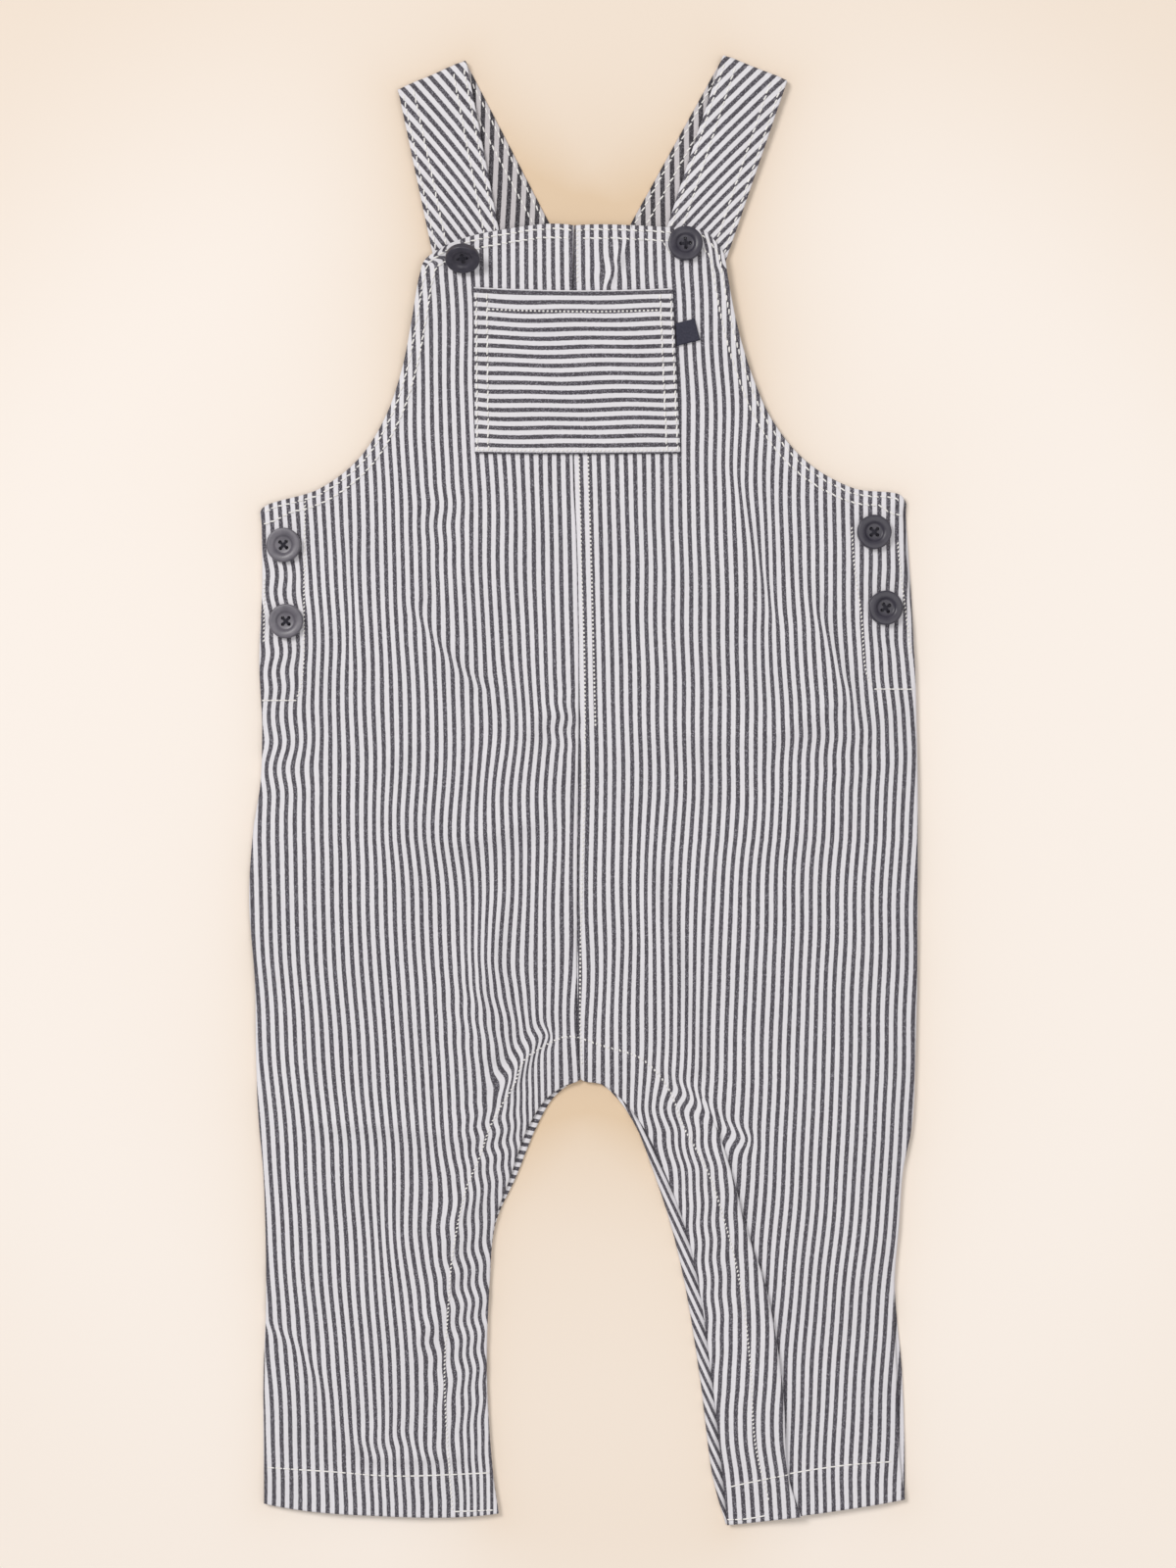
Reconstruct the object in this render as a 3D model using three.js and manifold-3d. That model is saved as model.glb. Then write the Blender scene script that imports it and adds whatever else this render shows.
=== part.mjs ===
// Striped baby dungarees, laid flat with the front up.
// Millimetres, +Z up, +Y towards the straps. Left and right are as seen from above.
// The floor is z = 0: the back panels and the back runs of the straps lie on it,
// the front panels lie over them, and pocket, tag and buttons lie on the front.

import * as THREE from "three";
import { mergeVertices } from "three/addons/utils/BufferGeometryUtils.js";
import Module from "manifold-3d";

const wasm = await Module();
wasm.setup();

// Cloth
const CLOTH = 1.2; // wall of a sewn cloth panel
const SEAM_GAP = 0.3; // between pieces that are sewn together or lie on each other
const FRONT_EDGE = CLOTH + SEAM_GAP; // underside of the front along its side seams
const BIB_EDGE = 3.2; // underside of the bib's edge, over both runs of the straps
const BIB_RISE_START = 150; // y where the front starts to rise over the straps
const BIB_RISE_END = 205; // y where it has risen
const EDGE_ROUNDING = 14; // how far in from an edge the front has mostly risen

// Buttons
const BUTTON_RADIUS = 7;
const BUTTON_RIM = 3.0; // thickness at the rim
const BUTTON_DISH = 1.9; // thickness in the sunken middle
const DISH_RADIUS = 3.9;
const HOLE_RADIUS = 0.75;
const HOLE_PITCH = 3.6; // between the centres of holes that face each other
const BUTTON_SIDES = 20;

// Pocket and tag
const POCKET_LIFT = 0.35; // over the front's outer face
const TAG_WALL = 1.0;

// Fineness of the cloth grids
const ROWS_PER_STATION = 2;
const FRONT_COLUMNS = 14;
const BACK_COLUMNS = 5;
const CREASE_SHARE = 0.4; // column where a leg's long pleat runs

const COLOURS = { stripe: 0xaeabb1, button: 0x4a4652, tag: 0x2d2c38 };

// The centre seams, from the crotch up, as points [x, y].
const FRONT_SEAM = [[-1.2, -118], [-2.2, -70], [-2.6, 30], [-3.0, 122], [-3.8, 230]];
const BACK_SEAM = [[-1.2, -118], [-1.0, -20], [0.6, 110], [2.1, 200.4]];

// Rows of a leg and its side, from the hem up. `inner` is the inseam point, or the height on
// the centre seam as a bare y. `peekIn` and `peekOut` are how far the back stands out past the
// front at the inseam and at the side. `pleat` is the x of the leg's long pleat, and `bow` how
// far the row sags from straight.
const LEFT_LEG = [
  { at: "hem", outer: [-130.2, -290.8], inner: [-34.6, -294.8], bow: -3.0, peekIn: 0, peekOut: 0 },
  { at: "hem_stitch", outer: [-130.2, -275.6], inner: [-37, -277.6], bow: -0.8, peekIn: 0, peekOut: 0.3 },
  { at: "shin", outer: [-130.0, -241.6], inner: [-39.4, -239.6], bow: 0, peekIn: 0, peekOut: 0.6 },
  { at: "calf", outer: [-129.4, -201.6], inner: [-38.2, -199.6], bow: 0, peekIn: 0, peekOut: 0 },
  { at: "knee", outer: [-129.8, -175.6], inner: [-36.2, -176.6], bow: 0, peekIn: 0.4, peekOut: 0 },
  { at: "over_knee", outer: [-130.6, -155.6], inner: [-29.8, -157.6], bow: 0, peekIn: 2.4, peekOut: 0 },
  { at: "thigh", outer: [-132.2, -138], inner: [-23.0, -138.4], bow: 0, peekIn: 3.4, peekOut: 0 },
  { at: "thigh_top", outer: [-133, -125.6], inner: [-15.4, -126.2], bow: 0, peekIn: 2.6, peekOut: 0 },
  { at: "fork", outer: [-133.2, -119], inner: [-7.2, -120.4], bow: 0, peekIn: 1, peekOut: 0 },
  { at: "crotch", outer: [-133.4, -114], inner: -118, bow: 0, peekIn: 0, peekOut: 0 },
  { at: "over_crotch", outer: [-133.6, -106], inner: -110, bow: 0, peekIn: 0, peekOut: 0 },
  { at: "seat", outer: [-134, -78], inner: -80, bow: 0, peekIn: 0, peekOut: 0 },
  { at: "hip", outer: [-136.3, -45.6], inner: -46, bow: 0, peekIn: 0, peekOut: 0 },
  { at: "over_hip", outer: [-134.8, -17.6], inner: -18, bow: 0, peekIn: 0, peekOut: 0 },
  { at: "under_waist", outer: [-131.8, 2.4], inner: 3, bow: 0, peekIn: 0, peekOut: 0 },
  { at: "waist", outer: [-131, 25], inner: 26, bow: 0, peekIn: 0, peekOut: 0 },
  { at: "placket_end", outer: [-132.2, 52], inner: 50, bow: 0, peekIn: 0, peekOut: 0 },
  { at: "placket", outer: [-131, 84], inner: 76, bow: 0, peekIn: 0, peekOut: 0 },
  { at: "side_top", outer: [-131.2, 108], inner: 96, bow: 0, peekIn: 0, peekOut: 0 },
];
const RIGHT_LEG = [
  { at: "hem", outer: [131, -289.2], inner: [58.6, -299.6], bow: -0.5, peekIn: 0.6, peekOut: 0, pleat: 87.8 },
  { at: "hem_stitch", outer: [129, -274.4], inner: [56.8, -281], bow: 0, peekIn: 4, peekOut: 2, pleat: 82.4 },
  { at: "shin", outer: [127.6, -239.6], inner: [52.2, -239.6], bow: 0, peekIn: 4.8, peekOut: 2.4, pleat: 79.2 },
  { at: "calf", outer: [126.6, -202.4], inner: [47, -202.4], bow: 0, peekIn: 5.6, peekOut: 0.4, pleat: 72.8 },
  { at: "knee", outer: [128.6, -177.6], inner: [41.2, -177.6], bow: 0, peekIn: 5.6, peekOut: 0, pleat: 64.6 },
  { at: "over_knee", outer: [130.2, -155.6], inner: [33, -155.6], bow: 0, peekIn: 4.6, peekOut: 0, pleat: 59 },
  { at: "thigh", outer: [133.8, -137.6], inner: [24.4, -137.6], bow: 0, peekIn: 3, peekOut: 0, pleat: 54 },
  { at: "thigh_top", outer: [134.8, -125.6], inner: [15.4, -126], bow: 0, peekIn: 1.6, peekOut: 0, pleat: 50 },
  { at: "fork", outer: [135, -119], inner: [7.4, -120], bow: 0, peekIn: 0.4, peekOut: 0 },
  { at: "crotch", outer: [135.2, -112], inner: -118, bow: 0, peekIn: 0, peekOut: 0 },
  { at: "over_crotch", outer: [135.4, -104], inner: -110, bow: 0, peekIn: 0, peekOut: 0 },
  { at: "seat", outer: [136, -77.6], inner: -80, bow: 0, peekIn: 0, peekOut: 0 },
  { at: "hip", outer: [136.2, -45.6], inner: -46, bow: 0, peekIn: 0, peekOut: 0 },
  { at: "over_hip", outer: [136.2, -17.6], inner: -18, bow: 0, peekIn: 0, peekOut: 0 },
  { at: "under_waist", outer: [136.2, 2.4], inner: 3, bow: 0, peekIn: 0, peekOut: 0 },
  { at: "waist", outer: [135.8, 25], inner: 26, bow: 0, peekIn: 0, peekOut: 0 },
  { at: "placket_end", outer: [135, 52], inner: 50, bow: 0, peekIn: 0, peekOut: 0 },
  { at: "placket", outer: [132.8, 80], inner: 76, bow: 0, peekIn: 0, peekOut: 0.8 },
  { at: "side_top", outer: [130.2, 112], inner: 96, bow: 0, peekIn: 0, peekOut: 1.2 },
];

// Rows from the underarm up the armhole to the top edge; `inner` is the height on the seam.
const ARMHOLES = {
  front_left: [
    { at: "underarm", outer: [-131.2, 114.4], inner: 104, bow: 0 },
    { at: "armhole_1", outer: [-107.8, 122.6], inner: 120, bow: 0 },
    { at: "armhole_2", outer: [-91.8, 134.8], inner: 136, bow: 0 },
    { at: "armhole_3", outer: [-80.6, 152.4], inner: 153, bow: 0 },
    { at: "armhole_4", outer: [-73.8, 172.4], inner: 171, bow: 0 },
    { at: "armhole_5", outer: [-70.2, 190.4], inner: 188, bow: 0 },
    { at: "armhole_6", outer: [-66.8, 209.6], inner: 206, bow: 0 },
    { at: "corner", outer: [-64.6, 215.8], inner: 217, bow: 1 },
    { at: "top", outer: [-57.0, 221.2], inner: 229.8, bow: 3 },
  ],
  front_right: [
    { at: "underarm", outer: [130, 118.6], inner: 104, bow: 0 },
    { at: "armhole_1", outer: [109.8, 123.2], inner: 120, bow: 0 },
    { at: "armhole_2", outer: [90.6, 134], inner: 136, bow: 0 },
    { at: "armhole_3", outer: [76.6, 151.2], inner: 153, bow: 0 },
    { at: "armhole_4", outer: [68.2, 170.4], inner: 171, bow: 0 },
    { at: "armhole_5", outer: [62.6, 189.2], inner: 188, bow: 0 },
    { at: "armhole_6", outer: [58.8, 208.6], inner: 206, bow: 0 },
    { at: "corner", outer: [56.8, 219], inner: 217, bow: 0.6 },
    { at: "top", outer: [50.2, 227.2], inner: 229.8, bow: 1.2 },
  ],
  back_left: [
    { at: "underarm", outer: [-130.4, 114.2], inner: 104, bow: 0 },
    { at: "armhole_1", outer: [-106.2, 121.2], inner: 116, bow: 0 },
    { at: "armhole_2", outer: [-78.2, 134.4], inner: 130, bow: 0 },
    { at: "armhole_3", outer: [-54.2, 154.4], inner: 152, bow: 0 },
    { at: "armhole_4", outer: [-40.2, 178.4], inner: 178, bow: 0 },
    { at: "top", outer: [-31.4, 200.4], inner: 200.4, bow: 0 },
  ],
  back_right: [
    { at: "underarm", outer: [131, 118.2], inner: 104, bow: 0 },
    { at: "armhole_1", outer: [108.6, 122], inner: 116, bow: 0 },
    { at: "armhole_2", outer: [81.6, 134.4], inner: 130, bow: 0 },
    { at: "armhole_3", outer: [58.4, 154.4], inner: 152, bow: 0 },
    { at: "armhole_4", outer: [44.6, 178.4], inner: 178, bow: 0 },
    { at: "top", outer: [35.8, 200.4], inner: 200.4, bow: 0 },
  ],
};

// How far the middle of the front stands above its edges, by height y.
const LOFT = [
  { y: -300, loft: 1.0 },
  { y: -270, loft: 2.0 },
  { y: -200, loft: 3.0 },
  { y: -110, loft: 3.3 },
  { y: 0, loft: 3.5 },
  { y: 100, loft: 3.2 },
  { y: 170, loft: 2.2 },
  { y: 230, loft: 1.6 },
];

// The largest folds of the front: a ridge along `path`, `height` tall in its middle, falling
// away over `left` and `right`, as seen along the path.
const FOLDS = [
  {
    name: "pleat down the right leg",
    path: [[46, -128], [54.6, -142], [62.6, -171.6], [76.2, -217.6], [79.8, -249.6], [87.8, -290]],
    height: 2.8, left: 4.5, right: 13,
  },
  {
    name: "crease from the left hip to the seam",
    path: [[-78, 72], [-48, 46], [-22, 28], [-4, 34]],
    height: 2.0, left: 5, right: 7,
  },
  {
    name: "crease from the bib to the right side",
    path: [[56, 130], [70, 96], [92, 76], [104, 42], [112, 34], [134, 34]],
    height: 1.9, left: 6, right: 8,
  },
  {
    name: "crease across the waist",
    path: [[10, 22], [70, 20], [106, 34]],
    height: 1.3, left: 7, right: 7,
  },
  {
    name: "left of the fork",
    path: [[-40, -38], [-42, -90], [-36, -112]],
    height: 1.9, left: 5, right: 6,
  },
  {
    name: "right of the fork",
    path: [[16, -14], [32, -58], [40, -100], [44, -118]],
    height: 1.9, left: 6, right: 6,
  },
  {
    name: "low crease on the left hip",
    path: [[-92, 2], [-54, -22], [-14, -10]],
    height: 1.5, left: 7, right: 7,
  },
  {
    name: "crease across the left knee",
    path: [[-131, -134], [-80, -136], [-42, -142]],
    height: 1.6, left: 6, right: 6,
  },
  {
    name: "crease round the left shin",
    path: [[-128, -222], [-110, -234], [-94, -262], [-70, -270], [-42, -268]],
    height: 1.7, left: 6, right: 7,
  },
  {
    name: "gather beside the left inseam",
    path: [[-74, -236], [-60, -214], [-54, -180], [-40, -160]],
    height: 1.6, left: 6, right: 6,
  },
];

// Straps, each one strip: from the back's top edge up to the fold, and down under the bib.
const STRAPS = {
  strap_left: {
    back: { left: [-31.4, 200.7], right: [1.8, 200.7] },
    fold: { left: [-76.0, 285.4], right: [-48.2, 297.4] },
    front: { left: [-59, 206.4], right: [-29.9, 204.4] },
  },
  strap_right: {
    back: { left: [2.5, 200.7], right: [35.8, 200.7] },
    fold: { left: [57.0, 299.6], right: [83.2, 289.2] },
    front: { left: [26.4, 206], right: [54.7, 206] },
  },
};
const STRAP_RUN_STEPS = 9;
const STRAP_FOLD_STEPS = 6;
const STRAP_COLUMNS = 3;
const STRAP_FOLD_RADIUS = 1.2; // of the strip's middle, round the fold

const POCKET = {
  topLeft: [-44.6, 203.6],
  topRight: [36.2, 202.8],
  bottomLeft: [-44.2, 136.8],
  bottomRight: [39.4, 136.8],
  columns: 10,
  rows: 8,
};
const TAG = {
  topLeft: [37.4, 190.4],
  topRight: [46.6, 192.4],
  bottomLeft: [37.9, 181.2],
  bottomRight: [48.6, 183.6],
  columns: 3,
  rows: 3,
};

// Buttons: `tilt` leans one over, in degrees, so that its upper edge stands off the cloth, and
// `turn` turns its holes.
const BUTTONS = [
  { name: "button_strap_left", at: [-49, 216.4], tilt: 38, turn: 8 },
  { name: "button_strap_right", at: [41.4, 222], tilt: 0, turn: 4 },
  { name: "button_side_left_upper", at: [-121.8, 99.6], tilt: 0, turn: 50 },
  { name: "button_side_left_lower", at: [-120.8, 68.6], tilt: 0, turn: 46 },
  { name: "button_side_right_upper", at: [118, 104.8], tilt: 0, turn: 45 },
  { name: "button_side_right_lower", at: [122.6, 74], tilt: 0, turn: 33 },
];

const clamp01 = (value) => Math.min(1, Math.max(0, value));
const smooth = (value) => {
  const t = clamp01(value);
  return t * t * (3 - 2 * t);
};
const mix = (a, b, t) => a + (b - a) * t;
const mixPoint = (a, b, t) => [mix(a[0], b[0], t), mix(a[1], b[1], t)];

/** Value of a table's column at a height y, smooth between its rows. */
function readTable(table, column, y) {
  const last = table.length - 1;
  if (y <= table[0].y) return table[0][column];
  if (y >= table[last].y) return table[last][column];
  const upper = table.findIndex((row) => row.y > y);
  const low = table[upper - 1];
  const high = table[upper];
  return mix(low[column], high[column], smooth((y - low.y) / (high.y - low.y)));
}

/** x of a centre seam at a height y. */
function seamX(seam, y) {
  const upper = Math.max(1, seam.findIndex((point) => point[1] >= y));
  const [low, high] = y > seam.at(-1)[1] ? seam.slice(-2) : [seam[upper - 1], seam[upper]];
  return mix(low[0], high[0], (y - low[1]) / (high[1] - low[1]));
}

/** Smooth curve through plan points, read by station number. */
function stationCurve(points) {
  const curve = new THREE.CatmullRomCurve3(points.map(([x, y]) => new THREE.Vector3(x, y, 0)));
  curve.curveType = "centripetal";
  return (station) => {
    const point = curve.getPoint(station / (points.length - 1));
    return [point.x, point.y];
  };
}

/** Plan of half a front or back: plan(station, share) runs from the seam or inseam outwards. */
function halfPlan({ side, rows, seam, isBack }) {
  const inner = rows.map((row) => {
    if (Array.isArray(row.inner)) return [row.inner[0] - (isBack ? side * row.peekIn : 0), row.inner[1]];
    return [seamX(seam, row.inner) + (side * SEAM_GAP) / 2, row.inner];
  });
  const outer = rows.map((row) => {
    const peek = isBack ? row.peekOut ?? 0 : 0;
    return [row.outer[0] + side * peek, row.outer[1]];
  });
  const middle = rows.map((row, index) => {
    const even = mixPoint(inner[index], outer[index], CREASE_SHARE);
    if (row.pleat === undefined) return even;
    const share = (row.pleat - inner[index][0]) / (outer[index][0] - inner[index][0]);
    return mixPoint(inner[index], outer[index], share);
  });
  const crotch = rows.findIndex((row) => row.at === "crotch");
  const innerCurve = stationCurve(inner);
  const innerAt = (station) => {
    const [x, y] = innerCurve(station);
    return station < crotch ? [x, y] : [seamX(seam, y) + (side * SEAM_GAP) / 2, y];
  };
  const middleAt = stationCurve(middle);
  const outerAt = stationCurve(outer);
  const bows = rows.map((row) => row.bow);

  return (station, share) => {
    const low = Math.min(Math.floor(station), rows.length - 2);
    const bow = mix(bows[low], bows[low + 1], station - low) * (1 - Math.abs(2 * share - 1) ** 3);
    const beyond = share > CREASE_SHARE;
    const part = beyond ? (share - CREASE_SHARE) / (1 - CREASE_SHARE) : share / CREASE_SHARE;
    const from = beyond ? middleAt(station) : innerAt(station);
    const to = beyond ? outerAt(station) : middleAt(station);
    const [x, y] = mixPoint(from, to, part);
    return [x, y + bow];
  };
}

const HALVES = {
  front_left: { side: -1, rows: [...LEFT_LEG, ...ARMHOLES.front_left], seam: FRONT_SEAM, isBack: false },
  front_right: { side: 1, rows: [...RIGHT_LEG, ...ARMHOLES.front_right], seam: FRONT_SEAM, isBack: false },
  back_left: { side: -1, rows: [...LEFT_LEG, ...ARMHOLES.back_left], seam: BACK_SEAM, isBack: true },
  back_right: { side: 1, rows: [...RIGHT_LEG, ...ARMHOLES.back_right], seam: BACK_SEAM, isBack: true },
};
for (const half of Object.values(HALVES)) half.plan = halfPlan(half);

/** The front's free edge, as short plan segments: inseams, sides, armholes and bib top. */
function frontEdgeSegments() {
  const segments = [];
  const addPath = (points) => {
    for (let k = 1; k < points.length; k += 1) segments.push([points[k - 1], points[k]]);
  };
  for (const { rows, plan } of [HALVES.front_left, HALVES.front_right]) {
    const top = rows.length - 1;
    const crotch = rows.findIndex((row) => row.at === "crotch");
    const steps = (from, to, count) => Array.from({ length: count + 1 }, (_, k) => mix(from, to, k / count));
    addPath(steps(0, top, top * 2).map((station) => plan(station, 1)));
    addPath(steps(0, crotch, crotch * 2).map((station) => plan(station, 0)));
    addPath(steps(0, 1, 8).map((share) => plan(top, share)));
  }
  return segments;
}
const FRONT_EDGES = frontEdgeSegments();

/** Nearest point of a plan segment: distance, share along it, and the side it is passed on. */
function nearSegment(x, y, [from, to]) {
  const dx = to[0] - from[0];
  const dy = to[1] - from[1];
  const share = clamp01(((x - from[0]) * dx + (y - from[1]) * dy) / (dx * dx + dy * dy));
  const offX = x - from[0] - dx * share;
  const offY = y - from[1] - dy * share;
  return { distance: Math.hypot(offX, offY), share, isLeft: dx * offY - dy * offX > 0 };
}

/** Height that one fold adds at a plan point. */
function foldHeight(x, y, fold) {
  let nearest = { distance: Infinity };
  const count = fold.path.length - 1;
  for (let k = 0; k < count; k += 1) {
    const near = nearSegment(x, y, [fold.path[k], fold.path[k + 1]]);
    if (near.distance < nearest.distance) nearest = { ...near, along: (k + near.share) / count };
  }
  const spread = nearest.isLeft ? fold.left : fold.right;
  const taper = smooth(nearest.along / 0.3) * smooth((1 - nearest.along) / 0.15 + 0.25);
  return fold.height * taper * Math.exp(-((nearest.distance / spread) ** 2));
}

/** Underside of the front at a plan point. */
function frontUnderside(x, y) {
  const distance = Math.min(...FRONT_EDGES.map((segment) => nearSegment(x, y, segment).distance));
  const rounding = 1 - Math.exp(-distance / EDGE_ROUNDING);
  const rise = smooth((y - BIB_RISE_START) / (BIB_RISE_END - BIB_RISE_START));
  const edge = mix(FRONT_EDGE, BIB_EDGE, rise);
  const folds = FOLDS.reduce((sum, fold) => sum + foldHeight(x, y, fold), 0);
  return edge + (readTable(LOFT, "loft", y) + folds) * rounding;
}
const frontTop = (x, y) => frontUnderside(x, y) + CLOTH;

/** Closed wall between two faces that are grids of the same size; lower and upper give points. */
function wallGeometry(columns, rows, lower, upper) {
  const across = columns + 1;
  const layer = across * (rows + 1);
  const positions = [];
  for (const face of [lower, upper]) {
    for (let j = 0; j <= rows; j += 1) {
      for (let i = 0; i <= columns; i += 1) positions.push(...face(i, j));
    }
  }
  const index = [];
  const quad = (a, b, c, d) => index.push(a, b, c, a, c, d);
  for (let j = 0; j < rows; j += 1) {
    for (let i = 0; i < columns; i += 1) {
      const a = j * across + i;
      quad(layer + a, layer + a + 1, layer + a + 1 + across, layer + a + across);
      quad(a + across, a + 1 + across, a + 1, a);
    }
  }
  const rim = [];
  for (let i = 0; i < columns; i += 1) rim.push(i);
  for (let j = 0; j < rows; j += 1) rim.push(j * across + columns);
  for (let i = columns; i > 0; i -= 1) rim.push(rows * across + i);
  for (let j = rows; j > 0; j -= 1) rim.push(j * across);
  rim.forEach((here, k) => {
    const next = rim[(k + 1) % rim.length];
    quad(here, next, layer + next, layer + here);
  });
  return facingOut(new Float32Array(positions), index);
}

/** Geometry whose faces point out, whichever way round they were listed. */
function facingOut(positions, index) {
  const at = (k) => new THREE.Vector3().fromArray(positions, 3 * k);
  let volume = 0;
  for (let k = 0; k < index.length; k += 3) {
    volume += at(index[k]).dot(at(index[k + 1]).cross(at(index[k + 2])));
  }
  const geometry = new THREE.BufferGeometry();
  geometry.setAttribute("position", new THREE.BufferAttribute(positions, 3));
  geometry.setIndex(volume > 0 ? index : [...index].reverse());
  return geometry;
}

/** Shares from the inner to the outer edge, closer together at the edges and at the pleat. */
function frontShares(hasPleat) {
  const spread = (from, to, count) =>
    Array.from({ length: count + 1 }, (_, k) => mix(from, to, (1 - Math.cos((Math.PI * k) / count)) / 2));
  if (!hasPleat) return spread(0, 1, FRONT_COLUMNS);
  const innerCount = Math.round(FRONT_COLUMNS * CREASE_SHARE) + 1;
  const inner = spread(0, CREASE_SHARE, innerCount);
  return [...inner, ...spread(CREASE_SHARE, 1, FRONT_COLUMNS - innerCount + 1).slice(1)];
}

/** Half of the front: a thin wall that lies over the back and bows up between its edges. */
function frontHalf({ rows, plan }) {
  const shares = frontShares(rows.some((row) => row.pleat !== undefined));
  const stations = (rows.length - 1) * ROWS_PER_STATION;
  const lower = (i, j) => {
    const [x, y] = plan(j / ROWS_PER_STATION, shares[i]);
    return [x, y, frontUnderside(x, y)];
  };
  const upper = (i, j) => {
    const [x, y, z] = lower(i, j);
    return [x, y, z + CLOTH];
  };
  return wallGeometry(shares.length - 1, stations, lower, upper);
}

/** Half of the back: a wall flat on the floor. */
function backHalf({ rows, plan }) {
  const stations = (rows.length - 1) * ROWS_PER_STATION;
  const face = (z) => (i, j) => [...plan(j / ROWS_PER_STATION, i / BACK_COLUMNS), z];
  return wallGeometry(BACK_COLUMNS, stations, face(0), face(CLOTH));
}

/** Sections of a strap: its two edge points in plan, the height of its middle, its outward normal. */
function strapSections({ back, fold, front }) {
  const along = new THREE.Vector2(fold.right[0] - fold.left[0], fold.right[1] - fold.left[1]).normalize();
  const away = [-along.y, along.x];
  const outerReach = STRAP_FOLD_RADIUS + CLOTH / 2;
  const pullBack = (point) => [point[0] - away[0] * outerReach, point[1] - away[1] * outerReach];
  const turn = { left: pullBack(fold.left), right: pullBack(fold.right) };
  const low = CLOTH / 2;
  const foldTop = low + 2 * STRAP_FOLD_RADIUS;
  const underBib = FRONT_EDGE + CLOTH / 2;
  const sections = [];
  for (let k = 0; k < STRAP_RUN_STEPS; k += 1) {
    const t = k / STRAP_RUN_STEPS;
    sections.push({ left: mixPoint(back.left, turn.left, t), right: mixPoint(back.right, turn.right, t), z: low,
      normal: [0, 0, -1] });
  }
  for (let k = 0; k <= STRAP_FOLD_STEPS; k += 1) {
    const angle = (Math.PI * k) / STRAP_FOLD_STEPS;
    const reach = Math.sin(angle);
    const shift = (point) => [point[0] + away[0] * reach * STRAP_FOLD_RADIUS,
      point[1] + away[1] * reach * STRAP_FOLD_RADIUS];
    sections.push({ left: shift(turn.left), right: shift(turn.right),
      z: low + STRAP_FOLD_RADIUS * (1 - Math.cos(angle)),
      normal: [away[0] * reach, away[1] * reach, -Math.cos(angle)] });
  }
  for (let k = 1; k <= STRAP_RUN_STEPS; k += 1) {
    const t = k / STRAP_RUN_STEPS;
    sections.push({ left: mixPoint(turn.left, front.left, t), right: mixPoint(turn.right, front.right, t),
      z: mix(foldTop, underBib, smooth(t * 1.15)), normal: [0, 0, 1] });
  }
  return sections;
}

/** A strap: one strip of cloth, folded over on itself at the shoulder. */
function strapGeometry(strap) {
  const sections = strapSections(strap);
  const face = (side) => (i, j) => {
    const { left, right, z, normal } = sections[j];
    const [x, y] = mixPoint(left, right, i / STRAP_COLUMNS);
    const reach = (side * CLOTH) / 2;
    return [x + normal[0] * reach, y + normal[1] * reach, z + normal[2] * reach];
  };
  return wallGeometry(STRAP_COLUMNS, sections.length - 1, face(-1), face(1));
}

/** A four-cornered patch that lies on the front, `lift` above its outer face. */
function patchGeometry({ topLeft, topRight, bottomLeft, bottomRight, columns, rows }, lift, wall) {
  const face = (rise) => (i, j) => {
    const top = mixPoint(topLeft, topRight, i / columns);
    const bottom = mixPoint(bottomLeft, bottomRight, i / columns);
    const [x, y] = mixPoint(bottom, top, j / rows);
    return [x, y, frontTop(x, y) + lift + rise];
  };
  return wallGeometry(columns, rows, face(0), face(wall));
}

/** A closed geometry as a solid that can be cut. */
function toSolid(source) {
  const bare = source.clone();
  bare.deleteAttribute("normal");
  bare.deleteAttribute("uv");
  const merged = mergeVertices(bare, 1e-4);
  const faces = [];
  for (let k = 0; k < merged.index.count; k += 3) {
    const corners = [0, 1, 2].map((n) => merged.index.getX(k + n));
    if (new Set(corners).size === 3) faces.push(...corners);
  }
  return new wasm.Manifold(new wasm.Mesh({
    numProp: 3,
    vertProperties: new Float32Array(merged.attributes.position.array),
    triVerts: new Uint32Array(faces),
  }));
}

/** Four-hole button with a raised rim, its foot at z = 0. */
function buttonGeometry() {
  const edge = 0.4; // rounding of the rim
  const profile = [
    [0, 0], [BUTTON_RADIUS - 2 * edge, 0], [BUTTON_RADIUS, 2 * edge], [BUTTON_RADIUS, BUTTON_RIM - edge],
    [BUTTON_RADIUS - edge, BUTTON_RIM], [DISH_RADIUS + edge, BUTTON_RIM], [DISH_RADIUS - edge, BUTTON_DISH],
    [0, BUTTON_DISH],
  ].map(([radius, height]) => new THREE.Vector2(radius, height));
  const body = new THREE.LatheGeometry(profile, BUTTON_SIDES).rotateX(Math.PI / 2);
  let solid = toSolid(body);
  for (let k = 0; k < 4; k += 1) {
    const angle = (Math.PI / 2) * k;
    const hole = new THREE.CylinderGeometry(HOLE_RADIUS, HOLE_RADIUS, 3 * BUTTON_RIM, 6).rotateX(Math.PI / 2);
    hole.translate((HOLE_PITCH / 2) * Math.cos(angle), (HOLE_PITCH / 2) * Math.sin(angle), 0);
    solid = solid.subtract(toSolid(hole));
  }
  const { vertProperties, triVerts } = solid.getMesh();
  return facingOut(vertProperties, [...triVerts]);
}

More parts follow.
